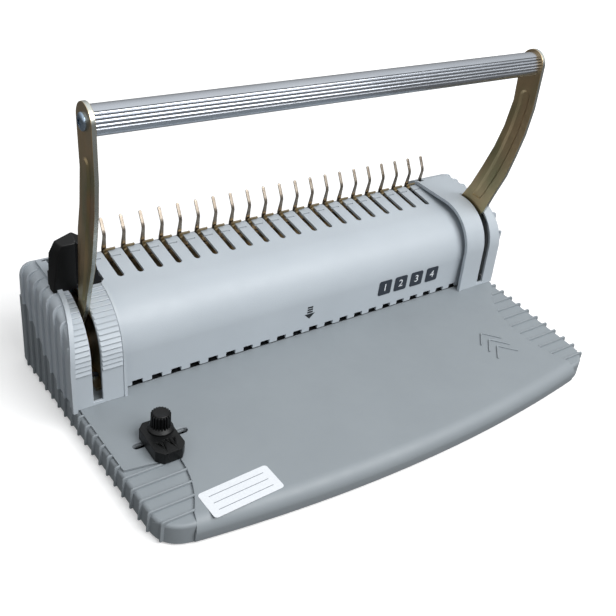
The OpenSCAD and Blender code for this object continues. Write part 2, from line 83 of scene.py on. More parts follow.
def linear(hexColour):
    parts = [int(hexColour[i : i + 2], 16) / 255 for i in (1, 3, 5)]
    return [c / 12.92 if c <= 0.04045 else ((c + 0.055) / 1.055) ** 2.4 for c in parts] + [1.0]


def meshOf(name, points, faces):
    mesh = bpy.data.meshes.new(name)
    mesh.from_pydata([[c * mm for c in p] for p in points], [], faces)
    mesh.update()
    return mesh


def loose(name, mesh):
    piece = bpy.data.objects.new(name, mesh)
    bpy.context.scene.collection.objects.link(piece)
    return piece


def facesOut(mesh):
    bm = bmesh.new()
    bm.from_mesh(mesh)
    bmesh.ops.remove_doubles(bm, verts=bm.verts, dist=1e-6)
    bmesh.ops.recalc_face_normals(bm, faces=bm.faces)
    bm.to_mesh(mesh)
    bm.free()
    return mesh


def withModifiers(piece):
    graph = bpy.context.evaluated_depsgraph_get()
    mesh = bpy.data.meshes.new_from_object(piece.evaluated_get(graph))
    piece.modifiers.clear()
    piece.data = mesh
    return piece


# Gives a skin its wall, inwards
def thicken(piece, thick):
    wall = piece.modifiers.new("wall", "SOLIDIFY")
    wall.thickness = thick * mm
    wall.offset = -1
    return withModifiers(piece)


def cutBy(piece, cutter, operation="DIFFERENCE"):
    change = piece.modifiers.new("cut", "BOOLEAN")
    change.operation = operation
    change.solver = "EXACT"
    change.object = cutter
    withModifiers(piece)
    bpy.data.objects.remove(cutter)
    return piece


# Rounds the edges, keeps the flats flat and puts the piece on its body
def finishPiece(piece, body, slotName, material, edge=0.3, segments=2, replaced=(), angle=35):
    if edge:
        bevel = piece.modifiers.new("edge", "BEVEL")
        bevel.width = edge * mm
        bevel.segments = segments
        bevel.limit_method = "ANGLE"
        bevel.angle_limit = math.radians(angle)
        bevel.use_clamp_overlap = False
        withModifiers(piece)
    piece.data.shade_smooth()
    piece.data.set_sharp_from_angle(angle=math.radians(angle))
    weights = piece.modifiers.new("weights", "WEIGHTED_NORMAL")
    weights.keep_sharp = True
    withModifiers(piece)
    if material:
        piece.data.materials.clear()
        piece.data.materials.append(material)
    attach(piece, body)
    if replaced:
        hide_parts(*replaced)
    return piece


# A copy of a construction part, its flats joined up again so that its edges can be rounded
def carried(node, name):
    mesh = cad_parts[node].data.copy()
    bm = bmesh.new()
    bm.from_mesh(mesh)
    bmesh.ops.remove_doubles(bm, verts=bm.verts, dist=2e-6)
    bmesh.ops.dissolve_limit(bm, angle_limit=math.radians(0.6), verts=bm.verts, edges=bm.edges)
    bm.to_mesh(mesh)
    bm.free()
    if mesh.attributes.get("custom_normal"):
        mesh.attributes.remove(mesh.attributes["custom_normal"])
    return loose(name, mesh)


def block(name, x, y, z):
    points = [[a, b, c] for a in x for b in y for c in z]
    faces = [[0, 1, 3, 2], [4, 6, 7, 5], [0, 4, 5, 1], [2, 3, 7, 6], [0, 2, 6, 4], [1, 5, 7, 3]]
    return loose(name, facesOut(meshOf(name, points, faces)))


# Several closed outlines, each pulled along one axis between two levels
def prisms(name, shapes, axis):
    points, faces = [], []
    for outline, low, high in shapes:
        first, count = len(points), len(outline)
        for level in (low, high):
            for a, b in outline:
                points.append({"x": [level, a, b], "y": [a, level, b], "z": [a, b, level]}[axis])
        faces.append(list(range(first, first + count)))
        faces.append(list(range(first + count, first + 2 * count))[::-1])
        for k in range(count):
            n = (k + 1) % count
            faces.append([first + k, first + n, first + count + n, first + count + k])
    return loose(name, facesOut(meshOf(name, points, faces)))


# Rings of equal length joined into a skin; closed goes round the ring, caps fill the ends
def skin(rings, closed=True, caps=(True, True)):
    count = len(rings[0])
    points = [p for ring in rings for p in ring]
    faces = []
    for r in range(len(rings) - 1):
        for k in range(count if closed else count - 1):
            n = (k + 1) % count
            faces.append([r * count + k, r * count + n, (r + 1) * count + n, (r + 1) * count + k])
    if caps[0]:
        faces.append(list(range(count))[::-1])
    if caps[1]:
        faces.append(list(range(len(points) - count, len(points))))
    return points, faces


def skinned(name, rings, **ends):
    return loose(name, facesOut(meshOf(name, *skin(rings, **ends))))


def arc(cy, cz, radius, start, end, steps):
    turn = [math.radians(start + (end - start) * k / steps) for k in range(steps + 1)]
    return [[cy + radius * math.cos(a), cz + radius * math.sin(a)] for a in turn]


# A profile of [radius, height] turned about a vertical or sideways axis
def turned(name, profile, centre, axis="z", steps=48):
    rings = []
    for radius, height in profile:
        ring = []
        for k in range(steps):
            a = 2 * math.pi * k / steps
            u, v = radius * math.cos(a), radius * math.sin(a)
            offset = [u, v, height] if axis == "z" else [height, u, v]
            ring.append([centre[i] + offset[i] for i in range(3)])
        rings.append(ring)
    return skinned(name, rings)


def roundedBox(width, depth, radius, steps=5):
    corners = [(1, 1, 0), (-1, 1, 90), (-1, -1, 180), (1, -1, 270)]
    outline = []
    for sx, sy, start in corners:
        cx, cy = sx * (width / 2 - radius), sy * (depth / 2 - radius)
        outline += arc(cx, cy, radius, start, start + 90, steps)
    return outline


# Geometry Nodes trees
def treeWith(name, sockets):
    tree = bpy.data.node_groups.new(name, "GeometryNodeTree")
    tree.interface.new_socket("Geometry", in_out="OUTPUT", socket_type="NodeSocketGeometry")
    for socketName, kind in sockets.items():
        tree.interface.new_socket(socketName, in_out="INPUT", socket_type="NodeSocket" + kind)
    return tree, addNode(tree, "NodeGroupInput").outputs


def endTree(tree, given, geometry):
    real = through(tree, "GeometryNodeRealizeInstances", {"Geometry": geometry})
    dressed = through(tree, "GeometryNodeSetMaterial", {"Geometry": real, "Material": given["Finish"]})
    addNode(tree, "NodeGroupOutput", {"Geometry": dressed})
    return tree


def partOf(tree, holder):
    return through(tree, "GeometryNodeObjectInfo", {"Object": holder}, "Geometry")


# Turns a curve's normals to the given side
def sided(tree, curve, side):
    return through(tree, "GeometryNodeSetCurveNormal", {"Curve": curve, "Normal": side}, mode="FREE")


# Copies of one piece in a row or round an axis
def makeRepeatTree():
    sockets = {"Piece": "Object", "Count": "Int", "Start": "Vector", "Step": "Vector"}
    sockets |= {"First turn": "Vector", "Turn": "Vector", "Finish": "Material"}
    tree, given = treeWith("repeatedPart", sockets)
    row = {"Count": given["Count"], "Start Location": given["Start"], "Offset": given["Step"]}
    line = through(tree, "GeometryNodeMeshLine", row)
    turns = {0: given["Turn"], 1: through(tree, "GeometryNodeInputIndex"), 2: given["First turn"]}
    turn = through(tree, "ShaderNodeVectorMath", turns, operation="MULTIPLY_ADD")
    angle = through(tree, "FunctionNodeEulerToRotation", {0: turn})
    copies = {"Points": line, "Instance": partOf(tree, given["Piece"]), "Rotation": angle}
    return endTree(tree, given, through(tree, "GeometryNodeInstanceOnPoints", copies))


# One section drawn along every line of a path
def makeSweepTree():
    sockets = {"Path": "Geometry", "Section": "Object", "Corner": "Float", "Side": "Vector"}
    tree, given = treeWith("sweptSection", sockets | {"Finish": "Material"})
    line = through(tree, "GeometryNodeMeshToCurve", {"Mesh": given["Path"]})
    bend = {"Curve": line, "Count": 5, "Radius": given["Corner"], "Limit Radius": True}
    rounded = through(tree, "GeometryNodeFilletCurve", bend, mode="POLY")
    profile = through(tree, "GeometryNodeMeshToCurve", {"Mesh": partOf(tree, given["Section"])})
    sweep = {"Curve": sided(tree, rounded, given["Side"]), "Profile Curve": profile, "Fill Caps": True}
    return endTree(tree, given, through(tree, "GeometryNodeCurveToMesh", sweep))


# Copies of one piece spaced evenly along a path, each turned with it
def makeAlongTree():
    sockets = {"Path": "Geometry", "Piece": "Object", "Count": "Int", "Side": "Vector"}
    tree, given = treeWith("spacedAlong", sockets | {"Finish": "Material"})
    line = through(tree, "GeometryNodeMeshToCurve", {"Mesh": given["Path"]})
    spacing = {"Curve": sided(tree, line, given["Side"]), "Count": given["Count"]}
    spots = addNode(tree, "GeometryNodeCurveToPoints", spacing, mode="COUNT").outputs
    part = partOf(tree, given["Piece"])
    copies = {"Points": spots["Points"], "Instance": part, "Rotation": spots["Rotation"]}
    return endTree(tree, given, through(tree, "GeometryNodeInstanceOnPoints", copies))


repeatTree = makeRepeatTree()
sweepTree = makeSweepTree()
alongTree = makeAlongTree()


def grow(name, tree, values, path=None):
    carrier = loose(name, path or bpy.data.meshes.new(name))
    growth = carrier.modifiers.new("growth", "NODES")
    growth.node_group = tree
    for item in tree.interface.items_tree:
        if item.in_out == "INPUT" and item.name in values:
            growth[item.identifier] = values[item.name]
    withModifiers(carrier)
    facesOut(carrier.data)
    for key in ("Piece", "Section"):
        if key in values:
            bpy.data.objects.remove(values[key])
    return carrier


def vector(*parts):
    return [float(c) * mm for c in parts]


# Open polylines as one mesh of edges
def lines(name, paths):
    points, edges = [], []
    for path in paths:
        edges += [[len(points) + k, len(points) + k + 1] for k in range(len(path) - 1)]
        points += [[c * mm for c in p] for p in path]
    mesh = bpy.data.meshes.new(name)
    mesh.from_pydata(points, edges, [])
    return mesh


# A closed section, width along the sweep's side vector
def section(outline):
    mesh = bpy.data.meshes.new("section")
    count = len(outline)
    edges = [[k, (k + 1) % count] for k in range(count)]
    mesh.from_pydata([[a * mm, b * mm, 0] for a, b in outline], edges, [])
    return loose("section", mesh)


alongX, alongY, alongZ = [1.0, 0.0, 0.0], [0.0, 1.0, 0.0], [0.0, 0.0, 1.0]
noTurn = [0.0, 0.0, 0.0]


def repeated(name, piece, count, start, step, finish, firstTurn=noTurn, turn=noTurn):
    values = {"Piece": piece, "Count": count, "Start": start, "Step": step}
    values |= {"First turn": firstTurn, "Turn": turn, "Finish": finish}
    return grow(name, repeatTree, values)


def swept(name, outline, paths, side, finish, corner=0.0):
    values = {"Section": section(outline), "Corner": corner * mm, "Side": side, "Finish": finish}
    return grow(name, sweepTree, values, lines("paths", paths))


print("frame loaded, helpers ready")


# Materials
def surface(name):
    material = bpy.data.materials.new(name)
    material.use_nodes = True
    tree = material.node_tree
    return material, tree, tree.nodes["Principled BSDF"], through(tree, "ShaderNodeTexCoord", output="Object")


# Noise of a real size, spread evenly between two values
def tone(tree, place, low, high, sizeMm, detail=4.0, stretch=(1, 1, 1)):
    spread = through(tree, "ShaderNodeMapping", {"Vector": place, "Scale": stretch})
    inputs = {"Vector": spread, "Scale": 1 / (sizeMm * mm), "Detail": detail, "Roughness": 0.55}
    noise = through(tree, "ShaderNodeTexNoise", inputs)
    return through(tree, "ShaderNodeMapRange", {"Value": noise, 1: 0.3, 2: 0.7, 3: low, 4: high})


def mixed(tree, share, first, second):
    return through(tree, "ShaderNodeMix", {0: share, 6: first, 7: second}, 2, data_type="RGBA")


def raised(tree, height, distanceMm, strength=1.0, under=None):
    inputs = {"Height": height, "Distance": distanceMm * mm, "Strength": strength}
    if under:
        inputs["Normal"] = under
    return through(tree, "ShaderNodeBump", inputs)


plasticShape = {"cloud": 45, "polish": 9, "sink": 60, "sinkDepth": 0.12}  # sizes of the marks in mm


# Injection-moulded ABS with a spark-eroded grain: soft sheen, faint cloudiness, no clear reflections
def mouldedPlastic(name, colour, shade, roughness, grain=0.55, depth=0.02, specular=0.45):
    material, tree, shader, place = surface(name)
    cloud = tone(tree, place, 0, 1, plasticShape["cloud"])
    sink = tone(tree, place, 0, 1, plasticShape["sink"], 1.0)
    low = raised(tree, sink, plasticShape["sinkDepth"], 0.6)
    looks = {
        "Base Color": mixed(tree, cloud, linear(colour), linear(shade)),
        "Roughness": tone(tree, place, roughness - 0.05, roughness + 0.06, plasticShape["polish"]),
        "Normal": raised(tree, tone(tree, place, 0, 1, grain, 2.0), depth, 0.8, low),
        "IOR": 1.5,
        "Specular IOR Level": specular,
    }
    feed(tree, shader, looks)
    return material


# Sheet or bar metal: long fine marks from rolling or drawing, patchy plating
def platedMetal(name, colour, patch, roughness, patchMm=14, stretch=(1, 1, 1), marks=(1, 1, 1)):
    material, tree, shader, place = surface(name)
    blotch = tone(tree, place, 0, 1, patchMm, 5.0, stretch)
    looks = {
        "Base Color": mixed(tree, blotch, linear(colour), linear(patch)),
        "Metallic": 1.0,
        "Roughness": tone(tree, place, roughness - 0.06, roughness + 0.08, 5, 4.0, stretch),
        "Normal": raised(tree, tone(tree, place, 0, 1, 0.5, 3.0, marks), 0.006, 0.7),
    }
    feed(tree, shader, looks)
    return material


filmColours = {0.0: "#b3a88f", 0.35: "#c2a984", 0.62: "#98926f", 0.85: "#b98f70", 1.0: "#a9a99c"}


# Yellow chromate over zinc: olive, straw and brown films that change across each plate
def chromatedSteel(name):
    material, tree, shader, place = surface(name)
    film = tone(tree, place, 0, 1, 60, 3.0, (1, 1, 0.45))
    ramp = addNode(tree, "ShaderNodeValToRGB", {"Fac": film})
    stops = ramp.color_ramp.elements
    for position, colour in filmColours.items():
        stop = stops.new(position) if 0 < position < 1 else stops[-int(position)]
        stop.color = linear(colour)
    looks = {
        "Base Color": ramp.outputs["Color"],
        "Metallic": 1.0,
        "Roughness": tone(tree, place, 0.3, 0.42, 4),
        "Normal": raised(tree, tone(tree, place, 0, 1, 0.6, 3.0, (1, 1, 0.12)), 0.008, 0.6),
    }
    feed(tree, shader, looks)
    return material


# Pigment on film or plastic, flat and even
def printed(name, colour, roughness=0.5):
    material, tree, shader, place = surface(name)
    speck = tone(tree, place, 0, 1, 1.2, 2.0)
    darker = [c * 0.93 for c in linear(colour)[:3]] + [1.0]
    looks = {
        "Base Color": mixed(tree, speck, linear(colour), darker),
        "Roughness": roughness,
        "Specular IOR Level": 0.35,
        "Normal": raised(tree, speck, 0.004, 0.5),
    }
    feed(tree, shader, looks)
    return material


greyAbs = mouldedPlastic("moulded ABS, mid grey", "#8b9297", "#878e93", 0.5)
paleAbs = mouldedPlastic("moulded ABS, pale grey", "#b3bbc2", "#afb7be", 0.46)
slateAbs = mouldedPlastic("moulded ABS, slate grey", "#6c757c", "#666e75", 0.5)
blackAbs = mouldedPlastic("moulded ABS, black", "#060708", "#090a0b", 0.42, 0.5, 0.015, 0.28)
footRubber = mouldedPlastic("moulded rubber", "#232426", "#2b2c2e", 0.78, 0.9, 0.04, 0.3)
rackNylon = mouldedPlastic("moulded nylon, natural", "#d6d2c1", "#cdc8b4", 0.42)
yellowZinc = chromatedSteel("sheet steel, yellow chromated zinc")
# painted highlight: a bright neutral steel colour that stands for the light caught on the arms' narrow edges
edgeHighlight = platedMetal("bright steel, painted edge highlight", "#c9cdc9", "#b5b7ad", 0.28, 10)
blueZinc = platedMetal("screw steel, blue chromated zinc", "#8fa3b8", "#a9b7c4", 0.24, 3)
hookSteel = platedMetal("stamped steel, brassy zinc", "#98896d", "#84755a", 0.34, 4)
prongSteel = platedMetal("stamped steel, nickel plate", "#9c9388", "#857a6e", 0.3, 6)
toolSteel = platedMetal("ground tool steel", "#8b9095", "#7c8186", 0.34, 8)
millSteel = platedMetal("cold rolled steel", "#a3a6a8", "#92959a", 0.32, 12)
gripAlloy = platedMetal(
    "extruded aluminium, clear anodised", "#b4b8be", "#a9aeb6", 0.25, 30, (0.1, 1, 1), (0.02, 1, 1)
)
bushBronze = platedMetal("sintered bronze", "#b58a4e", "#a07840", 0.4, 3)
platePaint = printed("powder coated steel, dark grey", "#4b4e51", 0.55)
blackInk = printed("pad print, black", "#1d2125")
badgeInk = printed("label film, dark blue grey", "#2a313b", 0.4)
whiteInk = printed("pad print, white", "#e4e8ec")
labelFilm = printed("label film, white", "#e2e6eb", 0.42)
ruleInk = printed("label print, grey", "#848b93")
# body, slot and material of the pieces that share a look
trayLook = ("base", "base_plastic", greyAbs)
coverLook = ("base", "cover_plastic", paleAbs)
stopLook = ("comb_stop", "black_plastic", blackAbs)
print("materials ready")

# Base: outline shared by the tray, the side walls and their ribs
baseLow, baseHigh = boxMm("base_tray")
coverLow = boxMm("front_cover")[0]
baseShape = {
    "taper": 0.0456,  # how fast the sides close towards the front
    "lipRadius": 1066,  # bow of the front edge
    "cornerY": -74.5,
    "cornerPull": -93.5,
    "cornerX": 160,
    "lean": 0.03,  # inward lean of the side walls per mm of height, up to the tray
    "pocket": 1.8,  # how far the ribs stand proud of the wall between them
    "rim": 2.6,  # radius over the edge of the tray
    "wall": 2.3,
}
floorZ = baseLow[2]
deckZ = coverLow[2] - 1.0
halfDepth = baseHigh[1]


def halfWidth(y):
    return baseHigh[0] - (halfDepth - y) * baseShape["taper"]


def sideX(y, z, depth=0.0):
    return halfWidth(y) - depth - baseShape["lean"] * (min(z, deckZ) - floorZ)


def lipY(x):
    return -halfDepth + x * x / (2 * baseShape["lipRadius"])


def cornerCurve(steps):
    first = [halfWidth(baseShape["cornerY"]), baseShape["cornerY"]]
    pull = [halfWidth(baseShape["cornerPull"]), baseShape["cornerPull"]]
    last = [baseShape["cornerX"], lipY(baseShape["cornerX"])]
    curve = []
    for k in range(steps + 1):
        t = k / steps
        share = [(1 - t) ** 2, 2 * t * (1 - t), t * t]
        curve.append([sum(s * p[i] for s, p in zip(share, (first, pull, last))) for i in range(2)])
    return curve


# Plan of the base, set in by some distance
def planOutline(inset):
    right = [[halfWidth(halfDepth) - inset, halfDepth - 1]]
    corner = cornerCurve(14)
    for k, (x, y) in enumerate(corner):
        share = k / (len(corner) - 1)
        right.append([x - inset * (1 - share ** 3), y + inset * share ** 1.5])
    front = [baseShape["cornerX"] * (1 - k / 12) for k in range(1, 13)]
    right += [[x, lipY(x) + inset] for x in front]
    return right + [[-x, y] for x, y in right[-2::-1]]


def frontY(x):
    if abs(x) <= baseShape["cornerX"]:
        return lipY(x)
    curve = cornerCurve(40)
    nearest = min(curve, key=lambda p: abs(p[0] - abs(x)))
    return nearest[1]


# Base: lower moulding with pockets between the ribs
def buildBase():
    pocket, rim = baseShape["pocket"], baseShape["rim"]
    pocketZ = deckZ - pocket
    wallTop = pocketZ - rim
    drift = baseShape["lean"] * (wallTop - floorZ)
    profile = [[pocket, floorZ], [pocket + drift, wallTop]]
    profile += [
        [pocket + drift + rim - rim * math.cos(a), wallTop + rim * math.sin(a)]
        for a in [math.radians(15 * k) for k in range(1, 7)]
    ]
    rings = [[[x, y, z] for x, y in planOutline(inset)] for inset, z in profile]
    base = thicken(skinned("base_moulding", rings, caps=(False, True)), baseShape["wall"])
    for cutter in openings():
        cutBy(base, cutter)
    return finishPiece(base, *trayLook, 0.25, 1, ("base_tray",), 40)


openingShape = {
    "throatRear": 105.5,
    "slotRun": 16.1,  # half the guide's travel, from the middle of its slot
    "slotRadius": 2.35,
    "play": 0.3,  # room round the chip drawer
}


# The throat under the housing, the chip drawer's window and the slot of the edge guide
def openings(withDrawer=True):
    dieLow, dieHigh = boxMm("die_plate")
    drawerLow, drawerHigh = boxMm("chip_drawer")
    slotX, slotY, _ = middleOf("guide_stud")
    run, radius, play = (openingShape[k] for k in ("slotRun", "slotRadius", "play"))
    throatY = [dieLow[1] - 0.2, openingShape["throatRear"]]
    cutters = [block("throat", [dieLow[0] - 1, dieHigh[0] + 1], throatY, [10, 30])]
    stadium = arc(slotX + run, slotY, radius, -90, 90, 10) + arc(slotX - run, slotY, radius, 90, 270, 10)
    cutters.append(prisms("slot", [(stadium, 8, 30)], "z"))
    if withDrawer:
        windowX = [halfWidth(0) - 12, halfWidth(0) + 12]
        windowY = [drawerLow[1] - play, drawerHigh[1] + play]
        cutters.append(block("window", windowX, windowY, [drawerLow[2] - 0.5, drawerHigh[2] + play]))
    return cutters


# Tray deck: the smooth sheet that the paper lies on, with the rounded front lip
deckShape = {
    "rearY": 104.0,
    "rowPitch": 4.0,
    "lip": 9.0,  # radius of the front lip
    "flare": [3.2, 165],  # growth of each half of the lip, and the half width that grows
    "thick": 1.5,
    "jumpY": -40.6,  # where the left pockets grow long
    "bowFrom": -30.0,  # its rows bow more and more over this length towards the lip
    "bowOver": 70,
    "inset": 3.6,  # least distance of its edge from the side wall
    "straightFrom": 17.7,  # behind this the right edge follows the side wall
    # an edge's x is a + b |y - c| ^ d
    "rightEdge": [151, 0.00131, -50, 2.4],
    "leftEdge": [147, 0.0025, -42, 2.24],
    "leftRear": [181.5, 0.03, -40],  # a straight one: a + b (y - c)
}


def deckEdge(side, y):
    widest = sideX(y, deckZ) - deckShape["inset"]
    a, b, c, d = deckShape["rightEdge" if side > 0 else "leftEdge"]
    if side > 0:
        return widest if y > deckShape["straightFrom"] else min(a + b * abs(y - c) ** d, widest)
    if y > deckShape["jumpY"]:
        a, b, c = deckShape["leftRear"]
        return -min(a + (y - c) * b, widest)
    return -(a + b * abs(y - c) ** d)


def deckRow(yMiddle):
    share = clamped((deckShape["bowFrom"] - yMiddle) / deckShape["bowOver"])
    share = share * share * (3 - 2 * share)

    def yAt(x):
        bow = frontY(x) + halfDepth
        return yMiddle + share * bow

    ends = []
    for side in (-1, 1):
        x = deckEdge(side, yMiddle)
        for _ in range(12):
            x = 0.5 * x + 0.5 * deckEdge(side, yAt(x))
        ends.append(x)
    return ends, yAt


def buildDeck():
    rear, pitch, jump, lip = (deckShape[k] for k in ("rearY", "rowPitch", "jumpY", "lip"))
    steps, frontRows, lipRows = 60, 14, 8
    stops = [rear - k * pitch for k in range(int((rear + 38) / pitch))] + [jump + 0.4, jump - 0.2]
    last = -halfDepth + lip
    stops += [jump - 1 + (last - jump + 1) * k / frontRows for k in range(1, frontRows + 1)]
    rows = []
    for y in stops:
        (left, right), yAt = deckRow(y)
        spread = [left + (right - left) * k / steps for k in range(steps + 1)]
        rows.append([[x, yAt(x), deckZ] for x in spread])
    edge = [p[0] for p in rows[-1]]
    growth, halfFront = deckShape["flare"]
    for k in range(1, lipRows + 1):
        a = math.radians(90 * k / lipRows)
        row = [x * (1 + growth * k / lipRows / halfFront) for x in edge]
        rows.append([[x, frontY(x) + lip * (1 - math.sin(a)), deckZ - lip * (1 - math.cos(a))] for x in row])
    for shift, level in ((0.4, floorZ + 1.2), (0.8, floorZ)):
        rows.append([[p[0], p[1] + shift, level] for p in rows[-1]])
    deck = skinned("tray_deck", rows, closed=False, caps=(False, False))
    if deck.data.polygons[0].normal.z < 0:
        deck.data.flip_normals()
    thicken(deck, deckShape["thick"])
    for cutter in openings(False):
        cutBy(deck, cutter)
    return finishPiece(deck, *trayLook, 0.35, 2, angle=50)


# Ribs: thin fins round the tray and up the sides
ribShape = {"pitch": 10.2, "first": -85.5, "count": 19, "width": 1.5, "height": 2.8, "blockFront": 21.5}
seam = {"frontY": 48.5, "rearY": 100.0, "lowZ": deckZ, "highZ": 55.0}


def seamZ(y):
    share = (y - seam["frontY"]) / (seam["rearY"] - seam["frontY"])
    return seam["lowZ"] + (seam["highZ"] - seam["lowZ"]) * clamped(share)


def ribOutline():
    w, h = ribShape["width"] / 2, ribShape["height"]
    return [[-w, -h], [w, -h], [w, -0.35], [w * 0.55, 0], [-w * 0.55, 0], [-w, -0.35]]


def trayRibPath(side, y):
    inner = abs(deckEdge(side, y)) - 0.5
    outer = sideX(y, deckZ)
    shift = 0.0
    if y < baseShape["cornerY"]:
        outer = min(cornerCurve(40), key=lambda p: abs(p[1] - y))[0] - baseShape["lean"] * deckZ
        shift = halfWidth(y) - outer - baseShape["lean"] * deckZ
    foot = sideX(y, floorZ + 0.6) - shift
    if y < ribShape["blockFront"]:
        return [[side * inner, y, deckZ], [side * outer, y, deckZ], [side * foot, y, floorZ + 0.6]]
    return [[side * sideX(y, seamZ(y)), y, seamZ(y)], [side * foot, y, floorZ + 0.6]]


def ribRows():
    return [ribShape["first"] + k * ribShape["pitch"] for k in range(ribShape["count"])]


def buildTrayRibs():
    paths = [trayRibPath(side, y)[::side] for side in (-1, 1) for y in ribRows()]
    ribs = swept("tray_ribs", ribOutline(), paths, alongY, greyAbs, baseShape["rim"])
    return finishPiece(ribs, *trayLook, 0, angle=50)


# Base side walls beside the head, and its rear wall
def buildBaseWalls():
    outline = [[44, deckZ - 4], [seam["frontY"], deckZ], [seam["rearY"], seam["highZ"]]]
    outline += [[halfDepth, seam["highZ"]], [halfDepth, deckZ - 4]]
    pocket, thick, top = baseShape["pocket"], baseShape["wall"], seam["highZ"]
    points, faces = [], []
    for side in (-1, 1):
        rings = [[[side * (sideX(y, z, pocket) - d), y, z] for y, z in outline] for d in (0, thick)]
        wall = skin(rings)
        faces += [[i + len(points) for i in face] for face in wall[1]]
        points += wall[0]
    walls = loose("base_side_walls", facesOut(meshOf("walls", points, faces)))
    finishPiece(walls, *trayLook, 0.3, 2)
    rings = []
    for y in (halfDepth - 2.5, halfDepth):
        low, high = (sideX(y, z, pocket) for z in (floorZ, top))
        rings.append([[-low, y, floorZ], [low, y, floorZ], [high, y, top], [-high, y, top]])
    finishPiece(skinned("base_rear_wall", rings), *trayLook, 0.8, 3)


print("building the base")
buildBase()
buildDeck()
buildTrayRibs()
buildBaseWalls()

# Comb row: shared by the covers, the prongs and the hooks
combShape = {"pitch": 14.2875, "middle": 2.15, "holes": 21}


def prongX(j):
    return combShape["middle"] + (j - combShape["holes"] / 2) * combShape["pitch"]


# End covers
endShape = {
    "front": 21.5,
    "lean": 1.8,
    "arcRadius": 35,
    "rearRadius": 13,
    "shoulder": [0.6, 7.8],  # radius over the outer edge, low down and at the top
    "shoulderZ": 45.0,  # where that radius begins to grow
    "wall": 2.2,
    "slotWidth": 6.4,
    "border": 2.2,
    "borderHeight": 1.2,
    "borderTo": 96,  # the borders end short of the rear edge
    "notchHalf": 2.8,  # room for the last prong in the right cover
    "notchY": [95.0, 100.7],
    "slotRear": [97.5, 64.2],  # where the arm slots end, left and right
    "rimY": 30,  # where the side wall's lean is taken for the rim
}
leftHigh = boxMm("left_end_cover")[1]
rightLow = boxMm("right_end_cover")[0]
headZ = leftHigh[2]
armLow, armHigh = boxMm("right_arm")
armMid = middleOf("right_arm")[0]


# Front, top and rear line of an end cover, set in by some distance, from [y, z] at the front foot
def headProfile(inset, steps=30):
    big, small = endShape["arcRadius"], endShape["rearRadius"]
    y = endShape["front"]
    line = [[y + inset, deckZ], [y + endShape["lean"] * 0.5 + inset, deckZ + 16]]
    line += arc(y + endShape["lean"] + big, headZ - big, big - inset, 180, 90, steps)
    line += arc(halfDepth - small, headZ - small, small - inset, 90, 0, 10)
    return line + [[halfDepth - inset, deckZ]]


def shoulderAt(z):
    foot, top = endShape["shoulder"]
    share = (z - endShape["shoulderZ"]) / (headZ - endShape["shoulderZ"])
    return foot + (top - foot) * clamped(share) ** 2


def coverSolid(side, innerX, inset):
    rings = []
    for x in [innerX - inset * 2, innerX]:
        rings.append([[side * x, y, z] for y, z in headProfile(inset)])
    for k in range(6):
        a = math.radians(90 - 18 * k)
        ring = []
        for i, (_, level) in enumerate(headProfile(inset)):
            shoulder = max(shoulderAt(level) - inset, 0.4)
            y, z = headProfile(inset + shoulder * (1 - math.sin(a)))[i]
            depth = baseShape["pocket"] + inset + shoulder * (1 - math.cos(a))
            ring.append([side * sideX(y, z, depth), y, z])
        rings.append(ring)
    return skinned("solid", rings)


def armSlot(side, rearY):
    front, half = endShape["front"], endShape["slotWidth"] / 2
    x = [side * armMid - half, side * armMid + half]
    upper = block("upper", x, [front - 2, rearY], [headZ - 16, headZ + 3])
    return cutBy(upper, block("lower", x, [front - 2, front + 28], [deckZ + 2.5, headZ - 2]), "UNION")


def buildEndCover(name, side, innerX, slotRear):
    cover = coverSolid(side, innerX, 0.0)
    cover.name = name
    cutBy(cover, coverSolid(side, innerX, endShape["wall"]))
    away = [[seam["frontY"], 0], [seam["frontY"], deckZ], [seam["rearY"], seam["highZ"]]]
    away += [[halfDepth + 2, seam["highZ"]], [halfDepth + 2, 0]]
    cutBy(cover, prisms("seam", [(away, -250, 250)], "x"))
    cutBy(cover, block("foot", [-250, 250], [-50, 200], [0, deckZ + 0.05]))
    cutBy(cover, armSlot(side, slotRear))
    if side > 0:
        last, half = prongX(combShape["holes"]), endShape["notchHalf"]
        cutBy(cover, block("notch", [last - half, last + half], endShape["notchY"], [60, headZ + 3]))
    return finishPiece(cover, *coverLook, 0.35, 2, (name + "_cover",), 38)


def rimX(z):
    return sideX(endShape["rimY"], z) - shoulderAt(z) - 0.3


# Raised borders that frame the front panels, from the foot up over the top
def buildBorders(side, innerX):
    path = [[y, z] for y, z in headProfile(0.0)[:-1] if y < endShape["borderTo"]]
    h = endShape["borderHeight"]
    borders = [("edge", [[side * (innerX + endShape["border"] / 2), y, z] for y, z in path], 1.0, -0.6)]
    if side < 0:
        # the outer rim stands on the left end alone
        borders.append(("rim", [[side * rimX(z), y, z] for y, z in path], 1.5, -2.4))
    for label, line, half, root in borders:
        outline = [[-half, root], [half, root], [half, h - 0.3], [half - 0.35, h], [0.35 - half, h]]
        outline.append([-half, h - 0.3])
        name = ("left_end_" if side < 0 else "right_end_") + label
        border = swept(name, outline, [line], alongX, paleAbs)
        finishPiece(border, *coverLook, 0, angle=50)


def topZ(y):
    heights = []
    line = headProfile(0.0, 60)
    for (ya, za), (yb, zb) in zip(line, line[1:]):
        if min(ya, yb) <= y <= max(ya, yb) and abs(yb - ya) > 1e-6:
            heights.append(za + (zb - za) * (y - ya) / (yb - ya))
    return max(heights)


# Ribs over the shoulder and down the side wall to the seam
def coverRibPath(side, y):
    top = topZ(y)
    shoulder = max(shoulderAt(top) - 0.6, 0.6)
    path = [[side * (rimX(top) + 0.4), y, top]]
    cx, cz = sideX(y, top) - shoulder, top - shoulder
    for k in range(7):
        a = math.radians(90 - 15 * k)
        path.append([side * (cx + shoulder * math.cos(a)), y, cz + shoulder * math.sin(a)])
    path.append([side * sideX(y, seamZ(y) + 0.3), y, seamZ(y) + 0.3])
    return path


